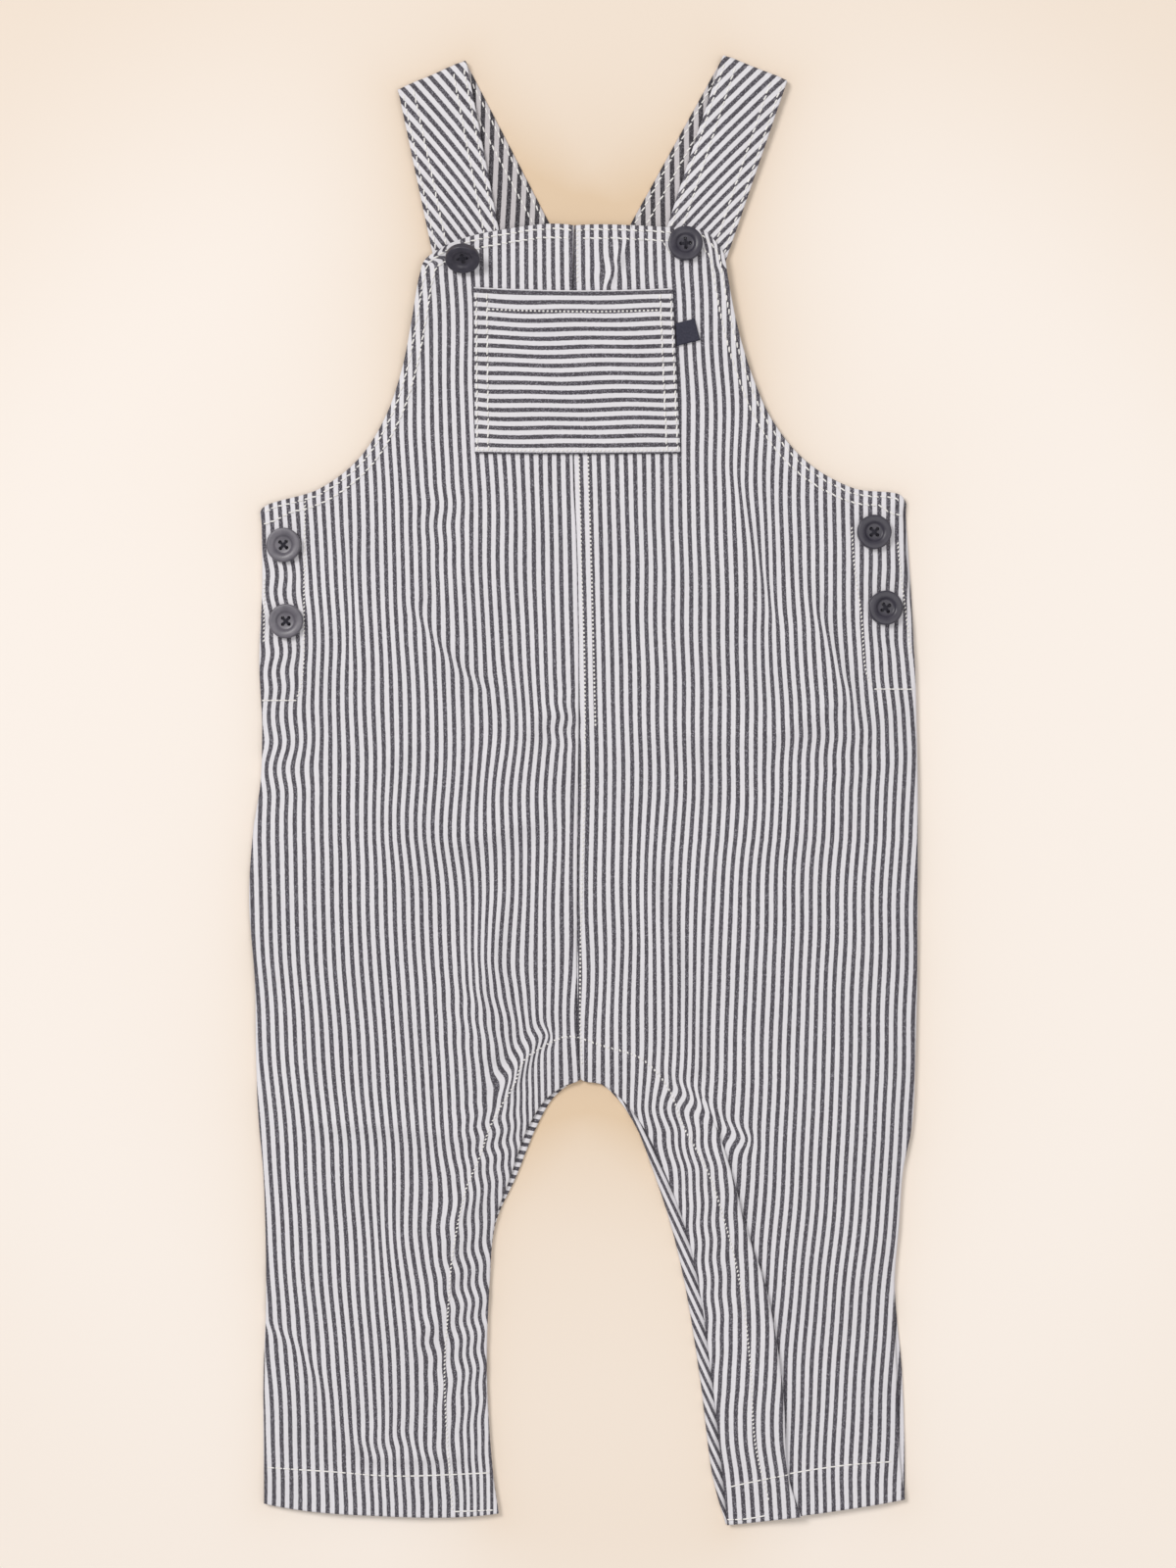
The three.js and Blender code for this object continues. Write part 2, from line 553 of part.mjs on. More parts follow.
/** Seats a button on the front: square to the cloth, or leaning with its lower edge on it. */
function seatButton(mesh, { at: [x, y], tilt, turn }) {
  const reach = BUTTON_RADIUS * 0.8;
  const slopeX = (frontTop(x + reach, y) - frontTop(x - reach, y)) / (2 * reach);
  const slopeY = (frontTop(x, y + reach) - frontTop(x, y - reach)) / (2 * reach);
  const normal = new THREE.Vector3(-slopeX, -slopeY, 1).normalize();
  const lean = THREE.MathUtils.degToRad(tilt);
  mesh.quaternion.setFromUnitVectors(new THREE.Vector3(0, 0, 1), normal);
  mesh.rotateX(lean);
  mesh.rotateZ(THREE.MathUtils.degToRad(turn));
  const foot = new THREE.Vector3();
  let lift = -Infinity;
  for (let k = 0; k < 24; k += 1) {
    const angle = (Math.PI * k) / 12;
    foot.set(BUTTON_RADIUS * Math.cos(angle), BUTTON_RADIUS * Math.sin(angle), 0).applyQuaternion(mesh.quaternion);
    lift = Math.max(lift, frontTop(x + foot.x, y + foot.y) - foot.z);
  }
  mesh.position.set(x, y, Math.max(lift, frontTop(x, y)) + SEAM_GAP);
}

const clothMaterial = () =>
  new THREE.MeshStandardMaterial({ color: COLOURS.stripe, roughness: 0.9, metalness: 0 });
const buttonMaterial = () =>
  new THREE.MeshStandardMaterial({ color: COLOURS.button, roughness: 0.45, metalness: 0 });
const tagMaterial = () =>
  new THREE.MeshStandardMaterial({ color: COLOURS.tag, roughness: 0.8, metalness: 0 });

/** Mesh with the name of its piece. */
function piece(name, geometry, material) {
  const mesh = new THREE.Mesh(geometry, material);
  mesh.name = name;
  return mesh;
}

const dungarees = new THREE.Group();
for (const [name, half] of Object.entries(HALVES)) {
  dungarees.add(piece(name, half.isBack ? backHalf(half) : frontHalf(half), clothMaterial()));
}
for (const [name, strap] of Object.entries(STRAPS)) {
  dungarees.add(piece(name, strapGeometry(strap), clothMaterial()));
}
dungarees.add(piece("chest_pocket", patchGeometry(POCKET, POCKET_LIFT, CLOTH), clothMaterial()));
dungarees.add(piece("side_tag", patchGeometry(TAG, POCKET_LIFT, TAG_WALL), tagMaterial()));
for (const button of BUTTONS) {
  const mesh = piece(button.name, buttonGeometry(), buttonMaterial());
  seatButton(mesh, button);
  dungarees.add(mesh);
}

// The origin lies under the middle of the whole, on the floor.
const box = new THREE.Box3().setFromObject(dungarees);
const centre = box.getCenter(new THREE.Vector3());
dungarees.position.set(-centre.x, -centre.y, -box.min.z);

export default dungarees;
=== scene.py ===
"""Striped baby dungarees laid flat with the front up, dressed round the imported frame.

Tables and sizes are millimetres in the part's own frame: +Z up, +Y towards the straps, and left
and right as seen from above. A mesh is turned into metres when it is made.
"""

from __future__ import annotations

import logging
import math
from dataclasses import dataclass, field
from enum import Enum
from typing import Sequence

import bpy
import numpy as np
from mathutils import Matrix, Quaternion, Vector
from mathutils.bvhtree import BVHTree


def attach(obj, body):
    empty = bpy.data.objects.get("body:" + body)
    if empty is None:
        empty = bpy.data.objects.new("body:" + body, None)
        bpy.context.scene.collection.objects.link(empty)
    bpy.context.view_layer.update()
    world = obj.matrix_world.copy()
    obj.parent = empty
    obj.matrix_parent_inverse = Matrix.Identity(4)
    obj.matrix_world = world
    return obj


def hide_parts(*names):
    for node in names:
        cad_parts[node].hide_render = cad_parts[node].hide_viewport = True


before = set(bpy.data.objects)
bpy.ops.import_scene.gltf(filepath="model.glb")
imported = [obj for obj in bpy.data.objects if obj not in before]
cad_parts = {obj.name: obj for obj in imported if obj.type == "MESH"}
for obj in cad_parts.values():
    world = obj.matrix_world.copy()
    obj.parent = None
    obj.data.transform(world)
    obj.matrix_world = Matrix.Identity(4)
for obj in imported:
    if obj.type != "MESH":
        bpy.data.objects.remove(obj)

Point = tuple[float, float]
Colour = tuple[float, float, float, float]
Line = tuple[np.ndarray, np.ndarray]  # points on the cloth and the cloth's normals there

MM = 0.001
CLOTH_MAP = "Cloth"  # UV map: millimetres across and along the stripes
BAKE_MAP = "OFBake"
FLOOR_SHADE = "shade"
BODY = "root"

# Cloth and its heights, close to those of the frame's solids
CLOTH = 1.2  # thickness
SEAM_GAP = 0.2  # between the two halves at a centre seam
FRONT_EDGE = 1.5  # height of the front's underside at its free edges
BIB_EDGE = 3.2  # the same at the bib's top
BIB_RISE_START = 150.0
BIB_RISE_END = 205.0
EDGE_ROUNDING = 14.0  # how far from an edge the front bows up
CREASE_SHARE = 0.4  # share of the way across a half where its middle line runs
RIM_ROUNDING = 0.5  # radius of a cloth edge
EDGE_STEPS = (0.0, 0.25, 0.7, 1.5)  # distances of the close rows beside an edge
CROTCH = -118.0  # height of the fork on the centre seam
POCKET_FOOT = 136.0  # where the centre seam goes under the pocket
PATH_BATCH = 4000  # points measured against a path at a time

STRIPE_PITCH = 3.6
# The line that the front's stripes follow, and the two centre seams, from the fork up
STRIPE_LINE = ((-1.2, -118.0), (-2.2, -70.0), (-2.6, 30.0), (-3.0, 122.0), (-3.8, 230.0))
FRONT_SEAM = (
    (-1.2, -118.0), (-2.6, -96.0), (-2.7, -70.0), (-2.3, -10.0), (-1.8, 24.0), (-1.9, 58.0), (-2.5, 91.0),
    (-3.0, 106.0), (-3.9, 122.0), (-4.2, 136.0), (-4.2, 204.0), (-3.8, 230.0),
)
BACK_SEAM = ((-1.2, -118.0), (-1.0, -20.0), (0.6, 110.0), (2.1, 200.4))


@dataclass(frozen=True)
class Row:
    """One row across a half, from its inseam or seam to its side.

    Attributes:
        at: Where on the garment the row is.
        outer: Its end at the side, armhole or top edge.
        inner: Its end at the inseam, or its height on the centre seam.
        bow: How far the row's middle sags.
        peek_in: How far the back stands out past the front at the inseam.
        peek_out: How far the back stands out at the side.
        pleat: Where the leg's long pleat crosses the row.
    """

    at: str
    outer: Point
    inner: Point | float
    bow: float = 0.0
    peek_in: float = 0.0
    peek_out: float = 0.0
    pleat: float | None = None


LEFT_LEG = (
    Row("hem", (-130.2, -290.8), (-34.6, -294.8), bow=-3.0),
    Row("hem_stitch", (-130.2, -275.6), (-37.0, -277.6), bow=-0.8, peek_out=0.3),
    Row("shin", (-130.0, -241.6), (-39.4, -239.6), peek_out=0.6),
    Row("calf", (-129.4, -201.6), (-38.2, -199.6)),
    Row("knee", (-129.8, -175.6), (-36.2, -176.6), peek_in=0.4),
    Row("over_knee", (-130.6, -155.6), (-29.8, -157.6), peek_in=2.4),
    Row("thigh", (-132.2, -138.0), (-23.0, -138.4), peek_in=3.4),
    Row("thigh_top", (-133.0, -125.6), (-15.4, -126.2), peek_in=2.6),
    Row("fork", (-133.2, -119.0), (-7.2, -120.4), peek_in=1.0),
    Row("crotch", (-133.4, -114.0), -118.0),
    Row("over_crotch", (-133.6, -106.0), -110.0),
    Row("seat", (-134.0, -78.0), -80.0),
    Row("hip", (-136.3, -45.6), -46.0),
    Row("over_hip", (-134.8, -17.6), -18.0),
    Row("under_waist", (-131.8, 2.4), 3.0),
    Row("waist", (-131.0, 25.0), 26.0),
    Row("placket_end", (-132.2, 52.0), 50.0),
    Row("placket", (-131.0, 84.0), 76.0),
    Row("side_top", (-131.2, 108.0), 96.0),
)
RIGHT_LEG = (
    Row("hem", (131.0, -289.2), (58.6, -299.6), bow=-0.5, peek_in=0.6, pleat=87.8),
    Row("hem_stitch", (129.0, -274.4), (56.8, -281.0), peek_in=4.0, peek_out=2.0, pleat=82.4),
    Row("shin", (127.6, -239.6), (52.2, -239.6), peek_in=4.8, peek_out=2.4, pleat=79.2),
    Row("calf", (126.6, -202.4), (47.0, -202.4), peek_in=5.6, peek_out=0.4, pleat=72.8),
    Row("knee", (128.6, -177.6), (41.2, -177.6), peek_in=5.6, pleat=64.6),
    Row("over_knee", (130.2, -155.6), (33.0, -155.6), peek_in=4.6, pleat=59.0),
    Row("thigh", (133.8, -137.6), (24.4, -137.6), peek_in=3.0, pleat=54.0),
    Row("thigh_top", (134.8, -125.6), (15.4, -126.0), peek_in=1.6, pleat=50.0),
    Row("fork", (135.0, -119.0), (7.4, -120.0), peek_in=0.4),
    Row("crotch", (135.2, -112.0), -118.0),
    Row("over_crotch", (135.4, -104.0), -110.0),
    Row("seat", (136.0, -77.6), -80.0),
    Row("hip", (136.2, -45.6), -46.0),
    Row("over_hip", (136.2, -17.6), -18.0),
    Row("under_waist", (136.2, 2.4), 3.0),
    Row("waist", (135.8, 25.0), 26.0),
    Row("placket_end", (135.0, 52.0), 50.0),
    Row("placket", (132.8, 80.0), 76.0, peek_out=0.8),
    Row("side_top", (130.2, 112.0), 96.0, peek_out=1.2),
)
FRONT_LEFT_ARMHOLE = (
    Row("underarm", (-131.2, 114.4), 104.0),
    Row("armhole_1", (-107.8, 122.6), 120.0),
    Row("armhole_2", (-91.8, 134.8), 136.0),
    Row("armhole_3", (-80.6, 152.4), 153.0),
    Row("armhole_4", (-73.8, 172.4), 171.0),
    Row("armhole_5", (-70.2, 190.4), 188.0),
    Row("armhole_6", (-66.8, 209.6), 206.0),
    Row("corner", (-64.6, 215.8), 217.0, bow=1.0),
    Row("top", (-57.0, 221.2), 229.8, bow=3.0),
)
FRONT_RIGHT_ARMHOLE = (
    Row("underarm", (130.0, 119.5), 104.0),
    Row("armhole_1", (109.8, 123.0), 120.0),
    Row("armhole_2", (90.6, 134.0), 136.0),
    Row("armhole_3", (76.6, 151.2), 153.0),
    Row("armhole_4", (68.2, 170.4), 171.0),
    Row("armhole_5", (62.6, 189.2), 188.0),
    Row("armhole_6", (58.8, 208.6), 206.0),
    Row("corner", (56.8, 219.0), 217.0, bow=0.6),
    Row("top", (50.2, 227.2), 229.8, bow=1.2),
)
BACK_LEFT_ARMHOLE = (
    Row("underarm", (-130.4, 114.2), 104.0),
    Row("armhole_1", (-106.2, 121.2), 116.0),
    Row("armhole_2", (-78.2, 134.4), 130.0),
    Row("armhole_3", (-54.2, 154.4), 152.0),
    Row("armhole_4", (-40.2, 178.4), 178.0),
    Row("top", (-31.4, 200.4), 200.4),
)
BACK_RIGHT_ARMHOLE = (
    Row("underarm", (131.0, 118.2), 104.0),
    Row("armhole_1", (108.6, 122.0), 116.0),
    Row("armhole_2", (81.6, 134.4), 130.0),
    Row("armhole_3", (58.4, 154.4), 152.0),
    Row("armhole_4", (44.6, 178.4), 178.0),
    Row("top", (35.8, 200.4), 200.4),
)

# Height of the front's middle above its edges, as (y, loft)
LOFT = (
    (-300.0, 1.0), (-270.0, 2.0), (-200.0, 3.0), (-110.0, 3.3), (0.0, 3.5), (100.0, 3.2), (170.0, 2.2),
    (230.0, 1.6),
)
# How far the stripes lean to the middle down the legs, as (y, distance)
LEG_LEAN = ((-280.0, 15.6), (-246.0, 14.8), (-198.0, 11.2), (-134.0, 7.0), (-86.0, 3.7), (-20.0, 0.0))
# Stitch row of the hems across both legs
HEM_LINE = (
    (-129.0, -276.0), (-104.6, -277.4), (-79.4, -279.1), (-38.2, -278.2), (51.0, -282.4), (59.8, -283.8),
    (82.2, -278.6), (107.4, -274.8), (131.8, -273.4),
)


@dataclass(frozen=True)
class Fold:
    """A ridge or trough of the front.

    Attributes:
        path: Its line in plan.
        height: Its height in the middle, below zero for a trough.
        left: How far it falls away on the left of the path's direction.
        right: How far it falls away on the right.
    """

    path: tuple[Point, ...]
    height: float
    left: float
    right: float


FOLDS = (
    Fold(((-78, 72), (-48, 46), (-22, 28), (-4, 34)), 2.0, 5, 7),
    Fold(((56, 130), (70, 96), (92, 76), (104, 42), (112, 34), (134, 34)), 1.9, 6, 8),
    Fold(((10, 22), (70, 20), (106, 34)), 1.3, 7, 7),
    Fold(((-40, -38), (-42, -90), (-36, -112)), 1.9, 5, 6),
    Fold(((16, -14), (32, -58), (40, -100), (44, -118)), 1.9, 6, 6),
    Fold(((-92, 2), (-54, -22), (-14, -10)), 1.5, 7, 7),
    Fold(((-131, -134), (-80, -136), (-42, -142)), 1.6, 6, 6),
    Fold(((-128, -222), (-110, -234), (-94, -262), (-70, -270), (-42, -268)), 1.7, 6, 7),
    Fold(((-74, -236), (-60, -214), (-54, -180), (-40, -160)), 1.6, 6, 6),
)
CREASES = (
    Fold(((5, 200), (10.6, 207.2), (13.6, 211.6), (13.2, 215), (20, 226)), 0.9, 1.6, 2.2),
    Fold(((9.5, 202), (14, 208.5), (17.5, 213), (17, 219)), -0.5, 1.6, 1.6),
    Fold(((-94, 108), (-93, 92), (-94, 74)), -0.7, 1.6, 1.6),
    Fold(((-70, 70), (-49, 47), (-27, 34)), 0.6, 1.8, 2.6),
    Fold(((-50, 128), (-46, 100), (-52, 74)), 0.6, 3.0, 3.0),
    Fold(((-62, 126), (-58, 98), (-62, 72)), -0.5, 3.0, 3.0),
    Fold(((61, 126), (68, 102), (75, 85)), 0.5, 2.2, 3.0),
    Fold(((90, 84), (97, 68), (105, 48), (112, 34)), 0.6, 2.2, 3.0),
    Fold(((-26, -90), (-24, -96), (-19, -100), (-21, -106), (-27, -116), (-33, -126)), 1.0, 2.0, 2.6),
    Fold(((-31, -30), (-36, -66), (-30, -102)), 0.8, 2.6, 3.4),
    Fold(((18, -14), (30, -46), (38, -62), (42, -106)), 0.6, 2.4, 3.0),
    Fold(((-130, -134), (-78, -136), (-42, -142)), 0.5, 2.0, 2.6),
    Fold(((-128, -219), (-120, -224), (-111, -237), (-105, -245)), 0.8, 1.8, 2.4),
    Fold(((-95, -262), (-88, -272), (-46, -271)), 0.7, 2.0, 2.4),
    Fold(((8, 24), (74, 22), (106, 36)), 0.5, 2.2, 2.8),
    Fold(((-98, 2), (-66, 20)), 0.5, 2.4, 3.0),
    Fold(((-86, 2), (-50, -22), (-14, -10)), 0.4, 2.4, 3.0),
    Fold(((-132, 18), (-120, 10), (-112, -4)), 0.6, 2.4, 2.8),
    Fold(((-30, -100), (-12, -96), (6, -100)), -0.5, 3.0, 3.0),
)

# Where the stripes swing to the right beside a fold: the height is how far.
BENDS = (
    Fold(((28, -111), (36, -121), (43, -125), (50, -131), (56, -137), (63, -141), (69, -144)), 2.7, 3.2, 4.4),
    Fold(((-40, -132), (-32, -119), (-24, -108), (-19.5, -102.5), (-13, -98)), 3.3, 4.0, 3.4),
    Fold(((-84, 216), (-66, 216), (-60, 217.4), (-52, 223)), -4.0, 2.0, 2.0),
    Fold(((40, 233), (50, 229.5), (56, 223.5), (60, 212)), -3.6, 5.0, 5.0),
)


@dataclass(frozen=True)
class Kink:
    """A crease that the stripes step across.

    Attributes:
        path: Its line in plan.
        step: How far right the stripes left of the path's direction lie of those on its right.
        reach: How far from the line the step dies away.
        width: How far the step takes.
    """

    path: tuple[Point, ...]
    step: float
    reach: float
    width: float

    def slip(self, x: np.ndarray, y: np.ndarray) -> np.ndarray:
        """How far the stripes slip to the right.

        Args:
            x: Plan x of the points.
            y: Plan y of the points.

        Returns:
            The slip at each point.
        """
        near = near_path(x, y, np.array(self.path))
        side = np.where(near.is_left, 0.5, -0.5) * np.tanh(near.distance / self.width)
        ends = smooth(near.along / 0.2) * smooth((1.0 - near.along) / 0.2)
        return self.step * side * ends * np.exp(-((near.distance / self.reach) ** 2))


KINKS = (
    Kink(((109.6, 22), (109.4, 34), (107.4, 41.2), (104.2, 47), (101.5, 55), (98.5, 63), (94.5, 71),
          (91, 82)), 1.5, 8.0, 1.8),
    Kink(((-102, -251), (-107.8, -239.2), (-111.8, -232.8), (-115.4, -227.2), (-119.4, -223.2),
          (-123.8, -220.8), (-131, -217), (-140, -213)), 1.3, 8.0, 1.9),
    Kink(((-54, -274), (-60, -272), (-66, -269.6), (-71.6, -265), (-75, -264.4), (-80, -268), (-86, -268.8),
          (-91.6, -264.8), (-97, -250)), 1.6, 8.0, 3.0),
    Kink(((5, 200), (7.8, 203.2), (10.6, 207.2), (13.6, 211.6), (13.2, 215), (16, 221), (20, 226)),
          1.3, 4.0, 1.1),
    Kink(((-95.4, 46), (-95.4, 58.4), (-94.6, 64.4), (-93.8, 74.4), (-94, 82.4), (-94.6, 94.4), (-95, 108)),
          1.1, 8.0, 1.3),
    Kink(((-36, 39), (-43, 44), (-50, 49.2), (-59.5, 59.5), (-67.4, 70.8), (-70, 78)), 1.3, 7.0, 1.8),
    Kink(((79, 64), (77.5, 72.4), (74.7, 82.4), (70.4, 93.8), (66.9, 109.4), (64, 122.2), (60, 134)),
          1.2, 7.0, 1.8),
)


@dataclass(frozen=True)
class Sway:
    """How far the stripes have slipped to the right down one line of the front.

    Attributes:
        x: Where the line is.
        slips: Rows of (height, slip), from the hem up.
    """

    x: float
    slips: tuple[Point, ...]


LEFT_SWAYS = (
    Sway(-120, ((-290, 2.9), (-254, 2.7), (-206, 1.6), (-174, 1.4), (-146, 1.6), (-122, 1.2), (-86, 1.9),
                (-54, 1.9), (-14, 3.3), (18, 3.6), (70, 4.3), (94, 2.6), (118, 1.0))),
    Sway(-90, ((-290, 3.9), (-262, 2.5), (-230, 1.4), (-196, 2.0), (-146, 2.2), (-122, 1.4), (-92, 2.2),
               (-62, 2.5), (22, 3.5), (66, 2.6), (94, 1.2), (118, 0.9), (146, -0.1))),
    Sway(-71, ((-290, 2.4), (-264, 0.9), (-242, 0.9), (-206, 1.1), (-184, -0.5), (-162, 1.4), (-146, 1.8),
               (-122, 1.4), (-74, 2.4), (-38, 3.0), (-14, 2.2), (34, 3.7), (70, 1.6), (130, -0.4),
               (150, -1.1), (186, -1.2), (210, -3.0))),
    Sway(-52, ((-290, 2.1), (-268, 0.9), (-238, 1.9), (-212, 1.7), (-182, 0.2), (-164, 2.6), (-146, 1.0),
               (-122, 0.8), (-98, 1.5), (-38, 2.8), (-14, 1.7), (22, 3.6), (58, 1.9), (94, 0.1),
               (130, -0.4), (162, -1.7), (184, -1.2), (210, -2.6))),
    Sway(-33, ((-282, 1.9), (-258, 1.7), (-240, 3.0), (-198, 2.4), (-182, 1.4), (-162, 2.2), (-140, 1.6),
               (-118, 2.4), (-98, 1.1), (-74, -1.5), (-56, -0.5), (-38, 1.3), (-26, 1.9), (-2, 1.0),
               (22, 3.9), (58, 1.4), (94, -0.1), (130, -0.4), (150, -2.2), (170, -2.7), (210, -2.1))),
    Sway(-12, ((-118, -2.5), (-90, -1.7), (-74, -0.6), (-50, -0.4), (-18, 1.2), (-2, 0.8), (22, 2.4),
               (46, 1.3), (82, 0.6), (130, -0.3), (210, -2.0))),
    Sway(-2, ((-118, -1.1), (-86, -1.8), (-74, -0.4), (-26, 0.3), (10, 1.4), (82, 0.7), (130, -0.2),
              (210, -1.9))),
)
RIGHT_SWAYS = (
    Sway(3, ((-118, -1.8), (-98, -1.3), (-74, 0.2), (-50, -0.6), (10, 0.2), (46, -0.4), (82, -1.0),
             (130, -2.0), (210, -4.2))),
    Sway(15, ((-130, 0.0), (-98, -0.8), (-62, 0.3), (-38, -0.4), (10, 0.0), (46, -0.5), (82, -0.9),
              (130, -1.9), (210, -3.8))),
    Sway(33, ((-136, -1.8), (-110, -0.1), (-86, 0.2), (-68, -0.4), (-50, -1.1), (-26, -1.5), (-2, -0.3),
              (34, -0.2), (130, -1.6), (160, -1.3), (210, -3.9))),
    Sway(54, ((-146, -0.1), (-110, -1.1), (-62, -1.4), (-38, -1.7), (-14, -1.1), (10, -0.3), (46, -0.1),
              (130, -1.6), (158, -1.0), (186, -2.9), (210, -3.4))),
    Sway(69, ((-146, 0.7), (-98, -1.2), (-62, -1.0), (-38, -1.7), (-2, -0.3), (34, 0.1), (94, -0.8),
              (130, -3.0), (160, -1.4), (186, -3.0))),
    Sway(80, ((-290, 0.2), (-250, 0.4), (-210, -0.5), (-182, 0.3), (-150, 0.5), (-128, -0.1), (-98, -1.0),
              (-74, -0.8), (-26, -1.7), (22, 0.2), (58, -1.1), (94, -3.0), (118, -3.7), (144, -2.7))),
    Sway(102, ((-290, -0.7), (-266, -1.1), (-242, -0.3), (-206, -0.8), (-182, 0.2), (-134, 0.1),
               (-98, -0.9), (-62, -1.3), (-32, -1.8), (34, -0.1), (70, -3.1), (118, -3.4))),
    Sway(124, ((-290, -0.9), (-242, -0.3), (-206, -0.7), (-182, 0.3), (-146, 0.5), (-98, -0.7), (-74, -0.8),
               (-26, -2.1), (22, -0.4), (58, -3.2), (118, -3.0))),
)


@dataclass(frozen=True)
class Ripple:
    """A patch of small waves in the cloth.

    Attributes:
        at: Its middle.
        reach: How far it reaches across and along the garment.
        length: Length of one wave along the garment.
        slant: How far a crest climbs for each millimetre across.
        slip: How far the waves push the stripes sideways.
        height: How far they lift the cloth.
    """

    at: Point
    reach: Point
    length: float
    slant: float
    slip: float
    height: float

    def wave(self, x: np.ndarray, y: np.ndarray) -> np.ndarray:
        """Waves between -1 and 1, dying away round the patch.

        Args:
            x: Plan x of the points.
            y: Plan y of the points.

        Returns:
            The wave at each point.
        """
        off_x, off_y = x - self.at[0], y - self.at[1]
        turn = 2.0 * math.pi * (off_y - self.slant * off_x) / self.length
        fade = np.exp(-((off_x / self.reach[0]) ** 2) - (off_y / self.reach[1]) ** 2)
        return fade * np.sin(turn + 0.8 * np.sin(off_x / 9.0 + off_y / 23.0))


RIPPLES = (
    Ripple((-124, 84), (9, 14), 24, 0.25, 0.9, 0.3),
    Ripple((-124, 52), (9, 14), 17, 0.35, 0.6, 0.25),
    Ripple((-124, 14), (14, 18), 27, 0.40, 1.1, 0.35),
    Ripple((-46, -212), (13, 46), 15, 0.50, 0.65, 0.25),
    Ripple((-36, -142), (12, 15), 11, 0.50, 0.7, 0.25),
    Ripple((50, -188), (12, 42), 17, 0.50, 0.35, 0.20),
    Ripple((-58, 112), (10, 14), 22, 0.30, 0.5, 0.25),
    Ripple((10, 207.5), (5.5, 8.5), 20, -0.30, 0.7, 0.2),
    Ripple((-9, 27), (7, 10), 13, 0.0, 0.5, 0.1),
    Ripple((124, 68), (9, 26), 21, -0.25, 0.2, 0.2),
    Ripple((-62, -222), (5, 11), 15, 0.2, 0.6, 0.25),
    Ripple((-40, -92), (16, 18), 15, -0.40, 0.3, 0.2),
    Ripple((100, 18), (26, 16), 19, 0.30, 0.25, 0.2),
)


class Slot(Enum):
    """The record's material slots."""

    COTTON = "striped_cotton"
    THREAD = "topstitch_thread"
    TAG = "woven_tag"
    BUTTON = "navy_button"


def smooth(value: np.ndarray | float) -> np.ndarray | float:
    """Ease a value from 0 to 1 with level ends."""
    t = np.clip(value, 0.0, 1.0)
    return t * t * (3.0 - 2.0 * t)


def mix(a: np.ndarray | float, b: np.ndarray | float, t: np.ndarray | float) -> np.ndarray | float:
    """Blend from a to b."""
    return a + (b - a) * t


def read_curve(table: Sequence[Point], at: np.ndarray) -> np.ndarray:
    """Read a two-column table along a smooth curve through its rows, level past both ends.

    Args:
        table: Rows of (place, value), in rising order of place.
        at: Places to read.

    Returns:
        The value at each place.
    """
    places = np.array([row[0] for row in table], float)
    values = np.array([row[1] for row in table], float)
    slopes = np.gradient(values, places)
    low = np.clip(np.searchsorted(places, at, side="right") - 1, 0, len(table) - 2)
    span = places[low + 1] - places[low]
    t = np.clip((at - places[low]) / span, 0.0, 1.0)
    along = mix(values[low], values[low + 1], t * t * (3.0 - 2.0 * t))
    return along + span * t * (1.0 - t) * ((1.0 - t) * slopes[low] - t * slopes[low + 1])


def slip_at(sways: Sequence[Sway], x: np.ndarray, y: np.ndarray) -> np.ndarray:
    """How far the stripes have slipped at plan points, between the lines of sway.

    Args:
        sways: Lines of sway, from left to right.
        x: Plan x of the points.
        y: Plan y of the points.

    Returns:
        The slip at each point.
    """
    lines = np.array([sway.x for sway in sways], float)
    slips = np.stack([read_curve(sway.slips, y) for sway in sways])
    low = np.clip(np.searchsorted(lines, x, side="right") - 1, 0, len(lines) - 2)
    share = smooth((x - lines[low]) / (lines[low + 1] - lines[low]))
    before = np.take_along_axis(slips, low[None], axis=0)[0]
    after = np.take_along_axis(slips, low[None] + 1, axis=0)[0]
    return mix(before, after, share)


def seam_x(seam: Sequence[Point], y: np.ndarray | float) -> np.ndarray | float:
    """Place of a centre seam across the garment at a height y."""
    return np.interp(y, [point[1] for point in seam], [point[0] for point in seam])


@dataclass(frozen=True)
class Nearness:
    """Where a plan path passes each of some points.

    Attributes:
        distance: Distance to the path.
        along: Share of the path's pieces that lies before the nearest place.
        is_left: Whether the point lies left of the path.
    """

    distance: np.ndarray
    along: np.ndarray
    is_left: np.ndarray


def near_path(x: np.ndarray, y: np.ndarray, path: np.ndarray) -> Nearness:
    """Find the nearest place of a path to each plan point.

    Args:
        x: Plan x of the points.
        y: Plan y of the points.
        path: Points of the path, or pairs of ends with a third axis.

    Returns:
        The nearness of the path to each point.
    """
    path = np.asarray(path, float)
    start, end = (path[:, 0], path[:, 1]) if path.ndim == 3 else (path[:-1], path[1:])
    span = end - start
    flat_x, flat_y = np.ravel(x), np.ravel(y)
    distance = np.empty(flat_x.shape)
    along = np.empty(flat_x.shape)
    is_left = np.empty(flat_x.shape, bool)
    for first in range(0, flat_x.size, PATH_BATCH):
        part = slice(first, first + PATH_BATCH)
        rel_x = flat_x[part, None] - start[:, 0]
        rel_y = flat_y[part, None] - start[:, 1]
        share = np.clip((rel_x * span[:, 0] + rel_y * span[:, 1]) / (span**2).sum(axis=1), 0.0, 1.0)
        off_x = rel_x - share * span[:, 0]
        off_y = rel_y - share * span[:, 1]
        reach = np.hypot(off_x, off_y)
        nearest = reach.argmin(axis=1)
        rows = np.arange(nearest.size)
        distance[part] = reach[rows, nearest]
        along[part] = (nearest + share[rows, nearest]) / len(start)
        is_left[part] = (span[:, 0] * off_y - span[:, 1] * off_x)[rows, nearest] > 0.0
    shape = np.shape(x)
    return Nearness(distance.reshape(shape), along.reshape(shape), is_left.reshape(shape))


